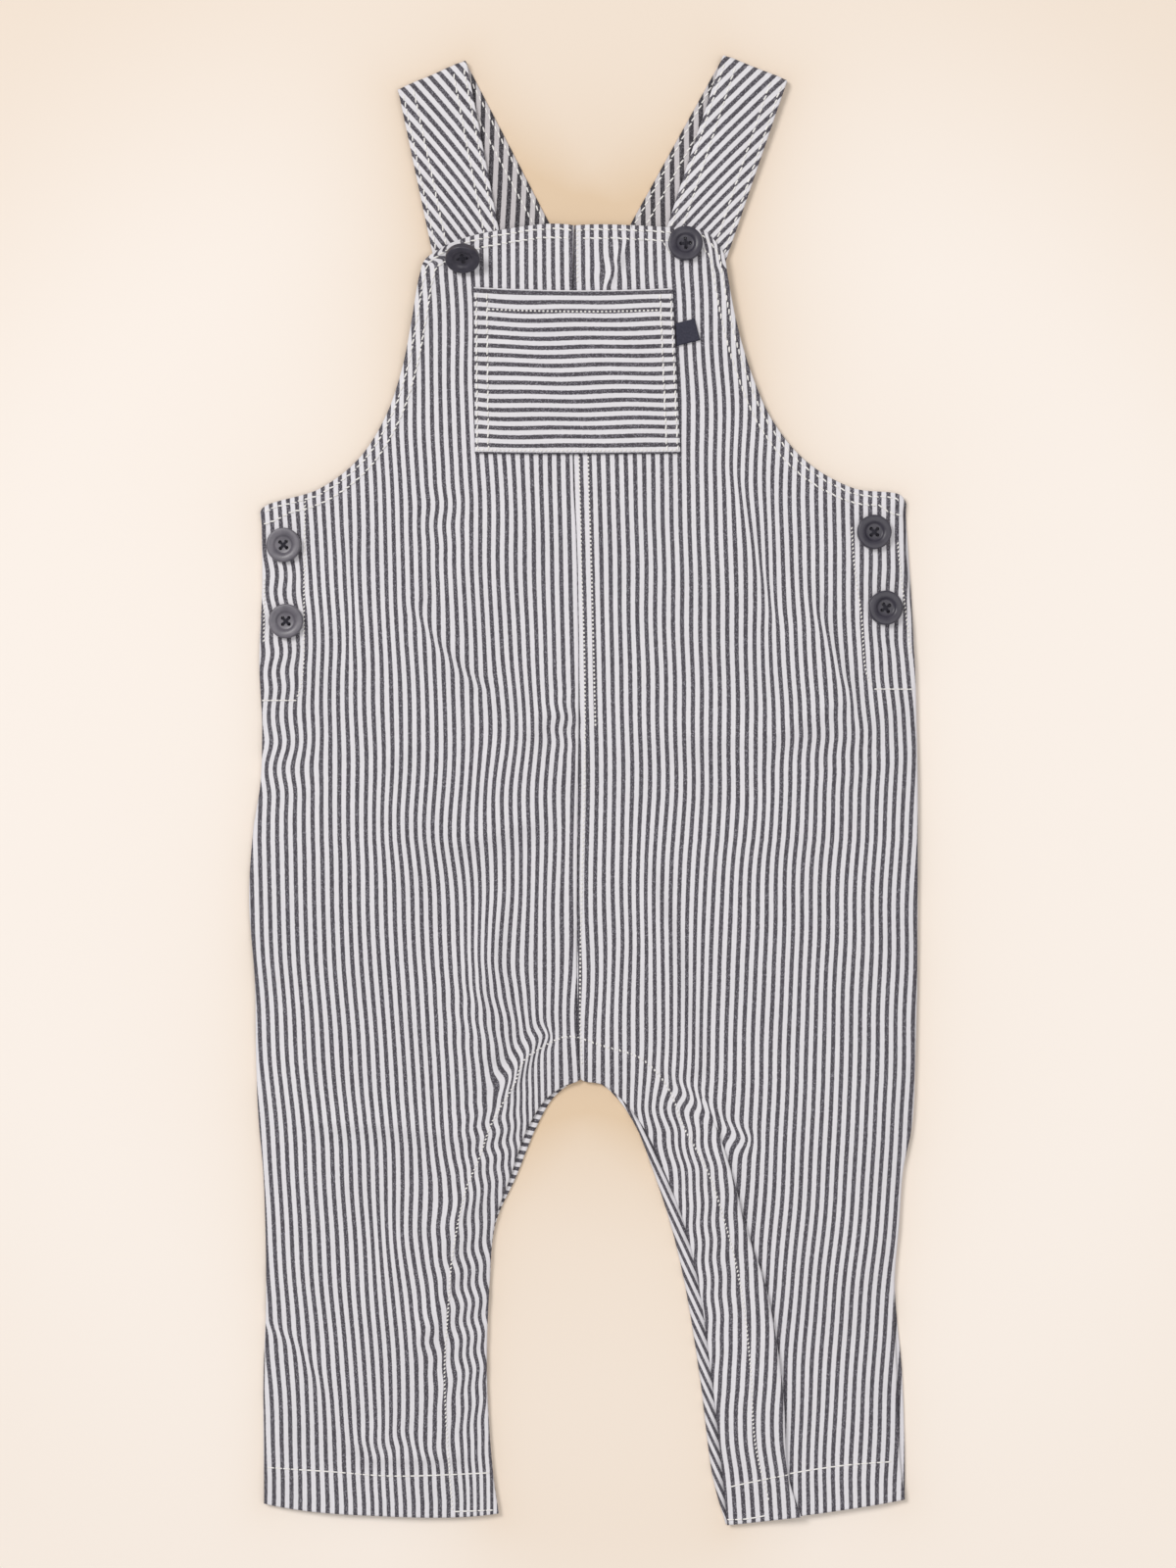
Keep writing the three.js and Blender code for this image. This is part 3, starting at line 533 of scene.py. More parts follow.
def fold_height(x: np.ndarray, y: np.ndarray, fold: Fold) -> np.ndarray:
    """Height that a fold adds, less towards both ends of its path.

    Args:
        x: Plan x of the points.
        y: Plan y of the points.
        fold: The fold.

    Returns:
        The height at each point.
    """
    near = near_path(x, y, np.array(fold.path))
    spread = np.where(near.is_left, fold.left, fold.right)
    taper = smooth(near.along / 0.3) * smooth((1.0 - near.along) / 0.15 + 0.25)
    return fold.height * taper * np.exp(-((near.distance / spread) ** 2))


def run_lengths(points: np.ndarray) -> np.ndarray:
    """Distance along a line at each of its points."""
    return np.concatenate([[0.0], np.cumsum(np.linalg.norm(np.diff(points, axis=0), axis=1))])


def grid_shares(length: float, count: int, close: Sequence[float] = ()) -> np.ndarray:
    """Shares of grid lines across a piece, closest at its edges.

    Args:
        length: Distance across the piece.
        count: Number of lines in its middle.
        close: Distances of more close lines from the first edge.

    Returns:
        The shares, from 0 to 1.
    """
    edge = np.array(EDGE_STEPS) / length
    start = np.concatenate([edge, np.array(close) / length])
    middle = np.linspace(start[-1], 1.0 - edge[-1], count)[1:-1]
    return np.concatenate([start, middle, 1.0 - edge[::-1]])


class StationCurve:
    """Smooth curve through plan points, read by station number."""

    def __init__(self, points: Sequence[Point]) -> None:
        """Work out the cubic of each stretch.

        Args:
            points: Plan points, one a station.
        """
        knots = np.array(points, float)
        before = 2.0 * knots[:1] - knots[1:2]
        after = 2.0 * knots[-1:] - knots[-2:-1]
        knots = np.vstack([before, knots, after])
        step = np.sqrt(np.linalg.norm(np.diff(knots, axis=0), axis=1))[:, None]
        p0, p1, p2, p3 = knots[:-3], knots[1:-2], knots[2:-1], knots[3:]
        d0, d1, d2 = step[:-2], step[1:-1], step[2:]
        start = ((p1 - p0) / d0 - (p2 - p0) / (d0 + d1) + (p2 - p1) / d1) * d1
        end = ((p2 - p1) / d1 - (p3 - p1) / (d1 + d2) + (p3 - p2) / d2) * d1
        self.terms = (p1, start, -3.0 * p1 + 3.0 * p2 - 2.0 * start - end, 2.0 * p1 - 2.0 * p2 + start + end)

    def at(self, station: np.ndarray) -> np.ndarray:
        """Plan points at station numbers.

        Args:
            station: Station numbers, whole at the curve's own points.

        Returns:
            Points, with x and y on the last axis.
        """
        low = np.clip(np.floor(station).astype(int), 0, len(self.terms[0]) - 1)
        t = (station - low)[..., None]
        a, b, c, d = (term[low] for term in self.terms)
        return a + t * (b + t * (c + t * d))


class HalfPlan:
    """Plan of half a front or back, read by station and by share from the inner edge outwards."""

    def __init__(self, side: int, rows: Sequence[Row], seam: Sequence[Point], is_back: bool = False) -> None:
        """Lay out the half's inner, middle and outer lines.

        Args:
            side: -1 for the left half, 1 for the right one.
            rows: Rows from the hem up.
            seam: Centre seam of the half's face.
            is_back: Whether the half belongs to the back.
        """
        self.side = side
        self.rows = tuple(rows)
        self.seam = seam
        self.last = len(rows) - 1
        self.crotch = next(index for index, row in enumerate(rows) if row.at == "crotch")
        inner = []
        outer = []
        middle = []
        for row in rows:
            if isinstance(row.inner, tuple):
                inner.append((row.inner[0] - (side * row.peek_in if is_back else 0.0), row.inner[1]))
            else:
                inner.append((float(seam_x(seam, row.inner)) + side * SEAM_GAP / 2, row.inner))
            outer.append((row.outer[0] + (side * row.peek_out if is_back else 0.0), row.outer[1]))
            reach = outer[-1][0] - inner[-1][0]
            share = CREASE_SHARE if row.pleat is None else (row.pleat - inner[-1][0]) / reach
            middle.append(tuple(mix(np.array(inner[-1]), np.array(outer[-1]), share)))
        self.inner = StationCurve(inner)
        self.middle = StationCurve(middle)
        self.outer = StationCurve(outer)
        self.bows = np.array([row.bow for row in rows])

    def inner_at(self, station: np.ndarray) -> np.ndarray:
        """Points of the inseam and, above the crotch, of the centre seam.

        Args:
            station: Station numbers.

        Returns:
            Points, with x and y on the last axis.
        """
        point = self.inner.at(station)
        on_seam = seam_x(self.seam, point[..., 1]) + self.side * SEAM_GAP / 2
        point[..., 0] = np.where(station < self.crotch, point[..., 0], on_seam)
        return point

    def point(self, station: np.ndarray, share: np.ndarray) -> np.ndarray:
        """Plan points at stations and shares.

        Args:
            station: Station numbers, from the hem up.
            share: Shares of the way from the inner to the outer edge.

        Returns:
            Points, with x and y on the last axis.
        """
        station, share = np.broadcast_arrays(np.asarray(station, float), np.asarray(share, float))
        low = np.clip(np.floor(station).astype(int), 0, self.last - 1)
        bow = mix(self.bows[low], self.bows[low + 1], station - low)
        bow = bow * (1.0 - np.abs(2.0 * share - 1.0) ** 3)
        inner, middle, outer = self.inner_at(station), self.middle.at(station), self.outer.at(station)
        to_middle = (share / CREASE_SHARE)[..., None]
        to_outer = ((share - CREASE_SHARE) / (1.0 - CREASE_SHARE))[..., None]
        point = np.where(to_middle <= 1.0, mix(inner, middle, to_middle), mix(middle, outer, to_outer))
        point[..., 1] += bow
        return point

    def station_of(self, name: str) -> int:
        """Number of the row at a named place."""
        return next(index for index, row in enumerate(self.rows) if row.at == name)

    def fine_stations(self, spacing: float) -> np.ndarray:
        """Station numbers of evenly spread rows, with close rows at both ends.

        Args:
            spacing: Distance between rows.

        Returns:
            The station numbers, from the hem up.
        """
        knots = np.arange(self.last + 1, dtype=float)
        heights = self.point(knots, np.full(knots.shape, 0.75))
        lengths = np.linalg.norm(np.diff(heights, axis=0), axis=1)
        stations = [
            low + step / count
            for low, count in enumerate(np.maximum(1, np.rint(lengths / spacing)).astype(int))
            for step in range(count)
        ]
        low_end = [reach / lengths[0] for reach in EDGE_STEPS]
        high_end = [self.last - reach / lengths[-1] for reach in EDGE_STEPS]
        clear = 0.02  # least step between the close rows and the others
        inside = [s for s in stations if low_end[-1] + clear < s < high_end[-1] - clear]
        return np.array(sorted(low_end + inside + high_end))


@dataclass
class FrontCloth:
    """The front's surface over the plan: its heights and where its stripes run."""

    left: HalfPlan
    right: HalfPlan
    turned_edge: float = 6.6  # width of the turned armhole and bib edges
    turned_rise: float = 0.4
    felled_seam: float = 6.4  # width of the seam's flap, right of the seam
    felled_rise: float = 0.35
    groove_width: float = 0.4
    groove_depths: Point = (0.3, 0.06)  # of the seam, below and above the belly
    hem_rise: float = 0.4
    unevenness: float = 0.22
    edges: np.ndarray = field(init=False)
    turned: np.ndarray = field(init=False)

    def __post_init__(self) -> None:
        """Lay out the front's free edges and its turned edges as plan segments."""
        self.edges = np.concatenate([self.outline(half) for half in (self.left, self.right)])
        self.turned = np.concatenate([self.outline(half, whole=False) for half in (self.left, self.right)])

    @staticmethod
    def outline(half: HalfPlan, whole: bool = True) -> np.ndarray:
        """Segments of a half's edge.

        Args:
            half: The half.
            whole: Whether to give all of its free edge, or else the armhole and the bib's top.

        Returns:
            Pairs of plan points.
        """
        first = 0 if whole else half.station_of("underarm")
        outer = half.point(np.arange(2 * first, 2 * half.last + 1) / 2.0, 1.0)
        top = half.point(float(half.last), np.linspace(0.0, 1.0, 9))
        paths = [outer, top]
        if whole:
            paths.append(half.point(np.arange(0, 2 * half.crotch + 1) / 2.0, 0.0))
        return np.concatenate([np.stack([path[:-1], path[1:]], axis=1) for path in paths])

    def underside(self, x: np.ndarray, y: np.ndarray) -> np.ndarray:
        """Height of the front's smooth underside, without the leg's pleat.

        Args:
            x: Plan x of the points.
            y: Plan y of the points.

        Returns:
            The height at each point.
        """
        rounding = 1.0 - np.exp(-near_path(x, y, self.edges).distance / EDGE_ROUNDING)
        rise = smooth((y - BIB_RISE_START) / (BIB_RISE_END - BIB_RISE_START))
        folds = sum(fold_height(x, y, fold) for fold in FOLDS)
        return mix(FRONT_EDGE, BIB_EDGE, rise) + (read_curve(LOFT, y) + folds) * rounding

    def relief(self, x: np.ndarray, y: np.ndarray) -> np.ndarray:
        """Small height that turned edges, seams and creases add to the smooth surface.

        Args:
            x: Plan x of the points.
            y: Plan y of the points.

        Returns:
            The height at each point.
        """
        turned = near_path(x, y, self.turned).distance
        rise = self.turned_rise * smooth((self.turned_edge + 0.8 - turned) / 1.6)
        from_seam = x - seam_x(FRONT_SEAM, y)
        felled = smooth(from_seam / 1.2) * smooth((self.felled_seam + 0.8 - from_seam) / 1.4)
        rise = rise + self.felled_rise * felled * smooth((POCKET_FOOT - y) / 4.0) * smooth((y - CROTCH) / 6.0)
        groove = np.exp(-((from_seam / self.groove_width) ** 2))
        rise = rise - mix(*self.groove_depths, smooth((y + 10.0) / 30.0)) * groove
        rise = rise + self.hem_rise * smooth((self.hem_line(x) - y) / 1.4 + 0.5)
        rise = rise + sum(fold_height(x, y, fold) for fold in CREASES)
        rise = rise + sum(ripple.height * ripple.wave(x, y) for ripple in RIPPLES)
        swell = np.sin(x / 11.0 + 1.3 * np.sin(y / 37.0)) * np.sin(y / 19.0 + 0.9 * np.sin(x / 29.0))
        ripple = np.sin(x / 5.1 + 2.1 * np.sin(y / 23.0)) * np.sin(y / 31.0 + 1.7)
        calm = smooth(turned / 12.0)
        return rise + self.unevenness * calm * (swell + 0.5 * ripple)

    @staticmethod
    def hem_line(x: np.ndarray) -> np.ndarray:
        """Height of the hem's stitch row across both legs."""
        return np.interp(x, [point[0] for point in HEM_LINE], [point[1] for point in HEM_LINE])

    @staticmethod
    def lean(x: np.ndarray, y: np.ndarray) -> np.ndarray:
        """Sideways shift of the stripes: both sides lean to the middle going down."""
        return read_curve(LEG_LEAN, y) * np.clip(-x / 50.0, -1.0, 1.0)

    @classmethod
    def across(cls, x: np.ndarray, y: np.ndarray, side: int) -> np.ndarray:
        """Distance across the stripes, from the centre seam, at plan points of a half.

        Args:
            x: Plan x of the points.
            y: Plan y of the points.
            side: -1 for the left half, 1 for the right one.

        Returns:
            The distances.
        """
        wander = 0.25 * np.sin(y / 17.0 + 1.9 * np.sin(x / 33.0)) * np.sin(x / 41.0 + 0.7)
        wander = wander + 0.22 * np.sin(y / 7.0 + x / 26.0) * np.sin(y / 61.0 + x / 47.0)
        slip = slip_at(LEFT_SWAYS if side < 0 else RIGHT_SWAYS, x, y) + wander * smooth(np.abs(x) / 30.0)
        slip = slip + sum(fold_height(x, y, bend) for bend in BENDS) + sum(kink.slip(x, y) for kink in KINKS)
        slip = slip + sum(ripple.slip * ripple.wave(x, y) for ripple in RIPPLES)
        return x - seam_x(STRIPE_LINE, y) - cls.lean(x, y) - slip


def link_object(name: str, data: bpy.types.ID) -> bpy.types.Object:
    """Make an object of some data and link it to the scene.

    Args:
        name: Name of the object.
        data: Its mesh, lamp or camera.

    Returns:
        The object.
    """
    made = bpy.data.objects.new(name, data)
    bpy.context.scene.collection.objects.link(made)
    return made


def add_object(name: str, points: np.ndarray, faces: Sequence, is_smooth: bool = False) -> bpy.types.Object:
    """Make an object with a mesh from points in millimetres.

    Args:
        name: Name of the object and its mesh.
        points: The vertices.
        faces: Vertex numbers of each face.
        is_smooth: Whether its faces are shaded smooth.

    Returns:
        The object, at the origin.
    """
    mesh = bpy.data.meshes.new(name)
    mesh.from_pydata((np.asarray(points, float) * MM).tolist(), [], faces)
    mesh.polygons.foreach_set("use_smooth", np.full(len(mesh.polygons), is_smooth))
    mesh.update()
    return link_object(name, mesh)


def ring_faces(first: int, rings: int, sides: int) -> list[tuple[int, ...]]:
    """Side faces of a tube.

    Args:
        first: Number of its first vertex.
        rings: How many rings of vertices it has, one after another.
        sides: Vertices of each ring.

    Returns:
        Vertex numbers of each face.
    """
    return [
        (low + k, low + (k + 1) % sides, low + sides + (k + 1) % sides, low + sides + k)
        for low in range(first, first + (rings - 1) * sides, sides)
        for k in range(sides)
    ]


def end_faces(first: int, rings: int, sides: int) -> list[tuple[int, ...]]:
    """The two end faces of the same tube."""
    last = first + (rings - 1) * sides
    return [tuple(range(first + sides - 1, first - 1, -1)), tuple(range(last, last + sides))]


@dataclass
class ClothGrid:
    """Both faces of a piece of cloth as grids of the same size.

    Attributes:
        lower: Points of the underside, rows by columns by 3.
        upper: Points of the outer face.
        cloth: Place across and along the stripes.
        plan: Unrolled plan, which the bake's map follows.
        cloth_under: The underside's place across and along the stripes, where it differs.
    """

    lower: np.ndarray
    upper: np.ndarray
    cloth: np.ndarray
    plan: np.ndarray
    cloth_under: np.ndarray | None = None

    def round_edges(self, radius: float = RIM_ROUNDING) -> None:
        """Round the outer face down, and the underside up, at all four edges.

        Args:
            radius: Radius of the rounding.
        """
        reach = np.full(self.upper.shape[:2], np.inf)
        for axis, edge in ((0, 0), (0, -1), (1, 0), (1, -1)):
            ends = np.take(self.upper, [edge], axis=axis)
            reach = np.minimum(reach, np.linalg.norm(self.upper - ends, axis=2))
        inside = np.clip(radius - reach, 0.0, radius)
        drop = radius - np.sqrt(radius**2 - inside**2)
        outward = self.upper - self.lower
        outward /= np.linalg.norm(outward, axis=2)[..., None]
        self.upper = self.upper - outward * drop[..., None]
        self.lower = self.lower + outward * drop[..., None]

    def build(self, name: str) -> bpy.types.Object:
        """Make the closed mesh, with its cloth map and its bake map.

        Args:
            name: Name of the object.

        Returns:
            The object, at the origin.
        """
        rows, columns = self.upper.shape[:2]
        layer = rows * columns
        at = np.arange(layer).reshape(rows, columns)
        low_quads = np.stack([at[:-1, :-1], at[1:, :-1], at[1:, 1:], at[:-1, 1:]], axis=-1).reshape(-1, 4)
        high_quads = low_quads[:, ::-1] + layer
        rim = np.concatenate([at[0, :-1], at[:-1, -1], at[-1, :0:-1], at[:0:-1, 0]])
        after = np.roll(rim, -1)
        rim_quads = np.stack([rim, after, after + layer, rim + layer], axis=-1)
        faces = np.concatenate([low_quads, high_quads, rim_quads])
        points = np.concatenate([self.lower.reshape(-1, 3), self.upper.reshape(-1, 3)])
        if self._signed_volume(points, faces) < 0.0:
            faces = faces[:, ::-1]
        piece = add_object(name, points, faces.tolist(), is_smooth=True)
        mesh = piece.data
        under = self.cloth if self.cloth_under is None else self.cloth_under
        sheets = 2 * len(low_quads)
        cloth = np.vstack([under.reshape(-1, 2), self.cloth.reshape(-1, 2)])[faces]
        cloth[sheets:] = np.vstack([self.cloth.reshape(-1, 2)] * 2)[faces[sheets:]]
        mesh.uv_layers.new(name=CLOTH_MAP).data.foreach_set("uv", cloth.ravel())
        bake = self._bake_map(faces, sheets, rim)
        mesh.uv_layers.new(name=BAKE_MAP).data.foreach_set("uv", bake.ravel())
        mesh.update()
        return piece

    @staticmethod
    def _signed_volume(points: np.ndarray, faces: np.ndarray) -> float:
        """Six times the volume inside the faces, below zero where they point in."""
        a, b, c, d = (points[faces[:, k]] for k in range(4))
        return float((a * np.cross(b, c)).sum() + (a * np.cross(c, d)).sum())

    def _bake_map(self, faces: np.ndarray, sheets: int, rim: np.ndarray) -> np.ndarray:
        """Lay out the bake's map: the outer face beside the underside.

        Args:
            faces: Vertex numbers of each face.
            sheets: Number of faces before those of the rim.
            rim: Vertex numbers round the underside's edge.

        Returns:
            The place of each face corner.
        """
        plan = self.plan.reshape(-1, 2)
        least, most = plan.min(axis=0), plan.max(axis=0)
        margin = 3.0
        scale = 1.0 / max(2.0 * (most[0] - least[0]) + 4.0 * margin, most[1] - least[1] + 2.0 * margin)
        outer_face = plan - least + margin
        underside = outer_face + (most[0] - least[0] + 2.0 * margin, 0.0)
        corners = np.vstack([underside, outer_face])[faces]
        tangent = plan[np.roll(rim, -1)] - plan[np.roll(rim, 1)]
        outward = np.stack([tangent[:, 1], -tangent[:, 0]], axis=1)
        outward /= np.maximum(np.linalg.norm(outward, axis=1), 1e-9)[:, None]
        middle = plan.mean(axis=0)
        if ((plan[rim] - middle) * outward).sum() < 0.0:
            outward = -outward
        flange = outer_face.copy()
        flange[rim] += outward * CLOTH
        corners[sheets:] = np.vstack([flange, outer_face])[faces[sheets:]]
        return corners * scale


class Graph:
    """Adds nodes to one node tree and links them."""

    def __init__(self, tree: bpy.types.NodeTree) -> None:
        """Work in a node tree."""
        self.tree = tree

    def add(self, kind: str, inputs: dict | None = None, **settings: object) -> bpy.types.Node:
        """Add a node.

        Args:
            kind: Blender's name of the node type.
            inputs: Value or output socket for each input, by its name or number.
            settings: Properties of the node.

        Returns:
            The node.
        """
        node = self.tree.nodes.new(kind)
        for name, value in settings.items():
            setattr(node, name, value)
        self.feed(node, inputs or {})
        return node

    def feed(self, node: bpy.types.Node, inputs: dict) -> None:
        """Set or link inputs of a node.

        Args:
            node: The node.
            inputs: Value or output socket for each input, by its name or number.
        """
        for key, value in inputs.items():
            if isinstance(value, bpy.types.NodeSocket):
                self.tree.links.new(value, node.inputs[key])
            else:
                node.inputs[key].default_value = value

    def group(self, name: str, inputs: dict) -> bpy.types.NodeInputs:
        """Outputs of a shared node group on the given inputs."""
        return self.add("ShaderNodeGroup", inputs, node_tree=Shared.get(name)).outputs

    def math(self, operation: str, *values: object, clamp: bool = False) -> bpy.types.NodeSocket:
        """Output of a math node on the given values."""
        inputs = dict(enumerate(values))
        return self.add("ShaderNodeMath", inputs, operation=operation, use_clamp=clamp).outputs[0]

    def ramp(self, value: object, low: float, high: float) -> bpy.types.NodeSocket:
        """Smooth step of a value from 0 at low to 1 at high."""
        inputs = {"Value": value, "From Min": low, "From Max": high}
        return self.add("ShaderNodeMapRange", inputs, interpolation_type="SMOOTHSTEP").outputs["Result"]

    def noise(self, vector: object, scale: float, detail: float = 2.0) -> bpy.types.NodeSocket:
        """Noise value at a place."""
        inputs = {"Vector": vector, "Scale": scale, "Detail": detail}
        return self.add("ShaderNodeTexNoise", inputs).outputs["Fac"]

    def blend(self, factor: object, a: object, b: object, blend_type: str = "MIX") -> bpy.types.NodeSocket:
        """Mix of two colours."""
        inputs = {0: factor, 6: a, 7: b}
        return self.add("ShaderNodeMix", inputs, data_type="RGBA", blend_type=blend_type).outputs[2]

    def shaded(self, colour: object, share: object) -> bpy.types.NodeSocket:
        """A colour made lighter or darker by a share."""
        grey = self.add("ShaderNodeCombineColor", {0: share, 1: share, 2: share})
        return self.blend(1.0, colour, grey.outputs[0], "MULTIPLY")


def new_material(name: str) -> tuple[bpy.types.Material, Graph]:
    """Make an empty material.

    Args:
        name: Its name.

    Returns:
        The material and the graph of its nodes.
    """
    material = bpy.data.materials.new(name)
    material.use_nodes = True
    material.node_tree.nodes.clear()
    return material, Graph(material.node_tree)


def shader_group(name: str, inputs: dict[str, str], outputs: dict[str, str]) -> tuple[Graph, object, object]:
    """Make a shader node group with named sockets.

    Args:
        name: Name of the group.
        inputs: Kind of each input socket, by name.
        outputs: Kind of each output socket, by name.

    Returns:
        The group's graph, its input node and its output node.
    """
    tree = bpy.data.node_groups.new(name, "ShaderNodeTree")
    for in_out, sockets in (("INPUT", inputs), ("OUTPUT", outputs)):
        for socket, kind in sockets.items():
            tree.interface.new_socket(name=socket, in_out=in_out, socket_type=f"NodeSocket{kind}")
    graph = Graph(tree)
    return graph, graph.add("NodeGroupInput"), graph.add("NodeGroupOutput")


class Shared:
    """Node groups that more than one finish places, each built once."""

    @staticmethod
    def get(name: str) -> bpy.types.NodeTree:
        """A group by its name, built the first time it is asked for."""
        makers = {"Plain Weave": Shared._weave, "Ticking": Shared._ticking, "Handled": Shared._handled}
        return bpy.data.node_groups.get(name) or makers[name]()

    @staticmethod
    def _weave() -> bpy.types.NodeTree:
        """Threads of a plain weave: a random value and a height for each crossing.

        Returns:
            The group.
        """
        graph, given, result = shader_group(
            "Plain Weave",
            {"Place": "Vector", "Across": "Float", "Along": "Float"},
            {"Random": "Float", "Thread": "Float", "Height": "Float"},
        )
        parts = graph.add("ShaderNodeSeparateXYZ", {0: given.outputs["Place"]})
        warp = graph.math("DIVIDE", parts.outputs["X"], given.outputs["Across"])
        weft = graph.math("DIVIDE", parts.outputs["Y"], given.outputs["Along"])
        cell = graph.add("ShaderNodeCombineXYZ", {0: graph.math("FLOOR", warp), 1: graph.math("FLOOR", weft)})
        random = graph.add("ShaderNodeTexWhiteNoise", {"Vector": cell.outputs[0]}, noise_dimensions="2D")
        streaks = {0: graph.math("FLOOR", warp), 1: graph.math("MULTIPLY", weft, 0.05)}
        streak = graph.noise(graph.add("ShaderNodeCombineXYZ", streaks).outputs[0], 0.9, 1.0)
        over = graph.math("SINE", graph.math("MULTIPLY", warp, 2.0 * math.pi))
        under = graph.math("SINE", graph.math("MULTIPLY", weft, 2.0 * math.pi))
        height = graph.math("MULTIPLY_ADD", graph.math("MULTIPLY", over, under), 0.5, 0.5)
        graph.feed(result, {"Random": random.outputs["Value"], "Thread": streak, "Height": height})
        return graph.tree

    @staticmethod
    def _ticking() -> bpy.types.NodeTree:
        """Mask of dark stripes of a given width, with slightly wandering edges.

        Returns:
            The group.
        """
        graph, given, result = shader_group(
            "Ticking",
            {"Place": "Vector", "Pitch": "Float", "Dark Share": "Float", "Start": "Float"},
            {"Dark": "Float"},
        )
        parts = graph.add("ShaderNodeSeparateXYZ", {0: given.outputs["Place"]})
        wander = graph.math("SUBTRACT", graph.noise(given.outputs["Place"], 0.9, 2.0), 0.5)
        across = graph.math("MULTIPLY_ADD", wander, 0.35, parts.outputs["X"])
        from_start = graph.math("SUBTRACT", across, given.outputs["Start"])
        turn = graph.math("FRACT", graph.math("DIVIDE", from_start, given.outputs["Pitch"]))
        from_middle = graph.math("ABSOLUTE", graph.math("SUBTRACT", turn, 0.5))
        inside = graph.math("SUBTRACT", graph.math("MULTIPLY", given.outputs["Dark Share"], 0.5), from_middle)
        graph.feed(result, {"Dark": graph.ramp(inside, -0.045, 0.045)})
        return graph.tree

    @staticmethod
    def _handled() -> bpy.types.NodeTree:
        """Unevenness of cloth that has been washed and handled: a tone and a height.

        Returns:
            The group.
        """
        graph, given, result = shader_group(
            "Handled", {"Place": "Vector", "Scale": "Float"}, {"Tone": "Float", "Height": "Float"}
        )
        scaled = {0: given.outputs["Place"], "Scale": given.outputs["Scale"]}
        place = graph.add("ShaderNodeVectorMath", scaled, operation="SCALE").outputs[0]
        broad = graph.noise(place, 22.0, 3.0)
        fine = graph.noise(place, 110.0, 4.0)
        tone = graph.math("MULTIPLY_ADD", fine, 0.3, graph.math("MULTIPLY", broad, 0.7))
        graph.feed(result, {"Tone": tone, "Height": graph.math("MULTIPLY_ADD", fine, 0.35, broad)})
        return graph.tree


@dataclass(frozen=True)
class StripedCotton:
    """Washed cotton ticking, with navy warp stripes flecked by its white weft.

    Attributes:
        start: Where the first dark stripe's space begins, in millimetres.
        dark_share: Share of the pitch that is dark.
        fleck: Colour of the weft flecks in the dark stripes.
    """

    name: str
    start: float = 0.0
    pitch: float = STRIPE_PITCH
    dark_share: float = 0.48
    light: Colour = (0.71, 0.695, 0.735, 1.0)
    dark: Colour = (0.070, 0.064, 0.078, 1.0)
    fleck: Colour = (0.30, 0.29, 0.33, 1.0)

    def material(self) -> bpy.types.Material:
        """Build the material.

        Returns:
            The material.
        """
        material, graph = new_material(self.name)
        place = graph.add("ShaderNodeUVMap", uv_map=CLOTH_MAP).outputs["UV"]
        solid = graph.add("ShaderNodeTexCoord").outputs["Object"]
        weave = graph.group("Plain Weave", {"Place": place, "Across": 0.3, "Along": 0.36})
        stripes = {"Place": place, "Pitch": self.pitch, "Dark Share": self.dark_share, "Start": self.start}
        ticking = graph.group("Ticking", stripes)
        handled = graph.group("Handled", {"Place": solid, "Scale": 1.0})
        flecks = graph.math("MULTIPLY", graph.ramp(weave["Random"], 0.62, 1.0), 0.75)
        dark = graph.blend(flecks, self.dark, self.fleck)
        light = graph.shaded(self.light, graph.math("MULTIPLY_ADD", weave["Thread"], 0.16, 0.92))
        colour = graph.blend(ticking["Dark"], light, dark)
        toned = graph.shaded(colour, graph.math("MULTIPLY_ADD", handled["Tone"], 0.16, 0.92))
        creases = {"Height": handled["Height"], "Strength": 0.35, "Distance": 0.0012}
        creased = graph.add("ShaderNodeBump", creases).outputs["Normal"]
        threads = {"Height": weave["Height"], "Strength": 0.3, "Distance": 0.0001, "Normal": creased}
        woven = graph.add("ShaderNodeBump", threads)
        shader = graph.add("ShaderNodeBsdfPrincipled", {
            "Base Color": toned,
            "Roughness": graph.math("MULTIPLY_ADD", weave["Random"], 0.1, 0.82),
            "Normal": woven.outputs["Normal"],
            "Sheen Weight": 0.12,
            "Sheen Roughness": 0.5,
            "Specular IOR Level": 0.25,
        })
        graph.add("ShaderNodeOutputMaterial", {"Surface": shader.outputs["BSDF"]})
        return material


@dataclass(frozen=True)
class PaperFloor:
    """Matt cream paper with a warm painted shade, read from the mesh's shade attribute.

    Attributes:
        colour: Colour in the open.
        shaded: Colour of the painted shade, beside and between the cloth.
    """

    name: str
    colour: Colour
    shaded: Colour

    def material(self) -> bpy.types.Material:
        """Build the material.

        Returns:
            The material.
        """
        material, graph = new_material(self.name)
        shade = graph.add("ShaderNodeAttribute", attribute_name=FLOOR_SHADE).outputs["Fac"]
        # Painted shade: the floor's colour blends towards the shaded colour by the shade attribute.
        colour = graph.blend(shade, self.colour, self.shaded)
        shader = graph.add("ShaderNodeBsdfDiffuse", {"Color": colour, "Roughness": 0.6})
        graph.add("ShaderNodeOutputMaterial", {"Surface": shader.outputs["BSDF"]})
        return material


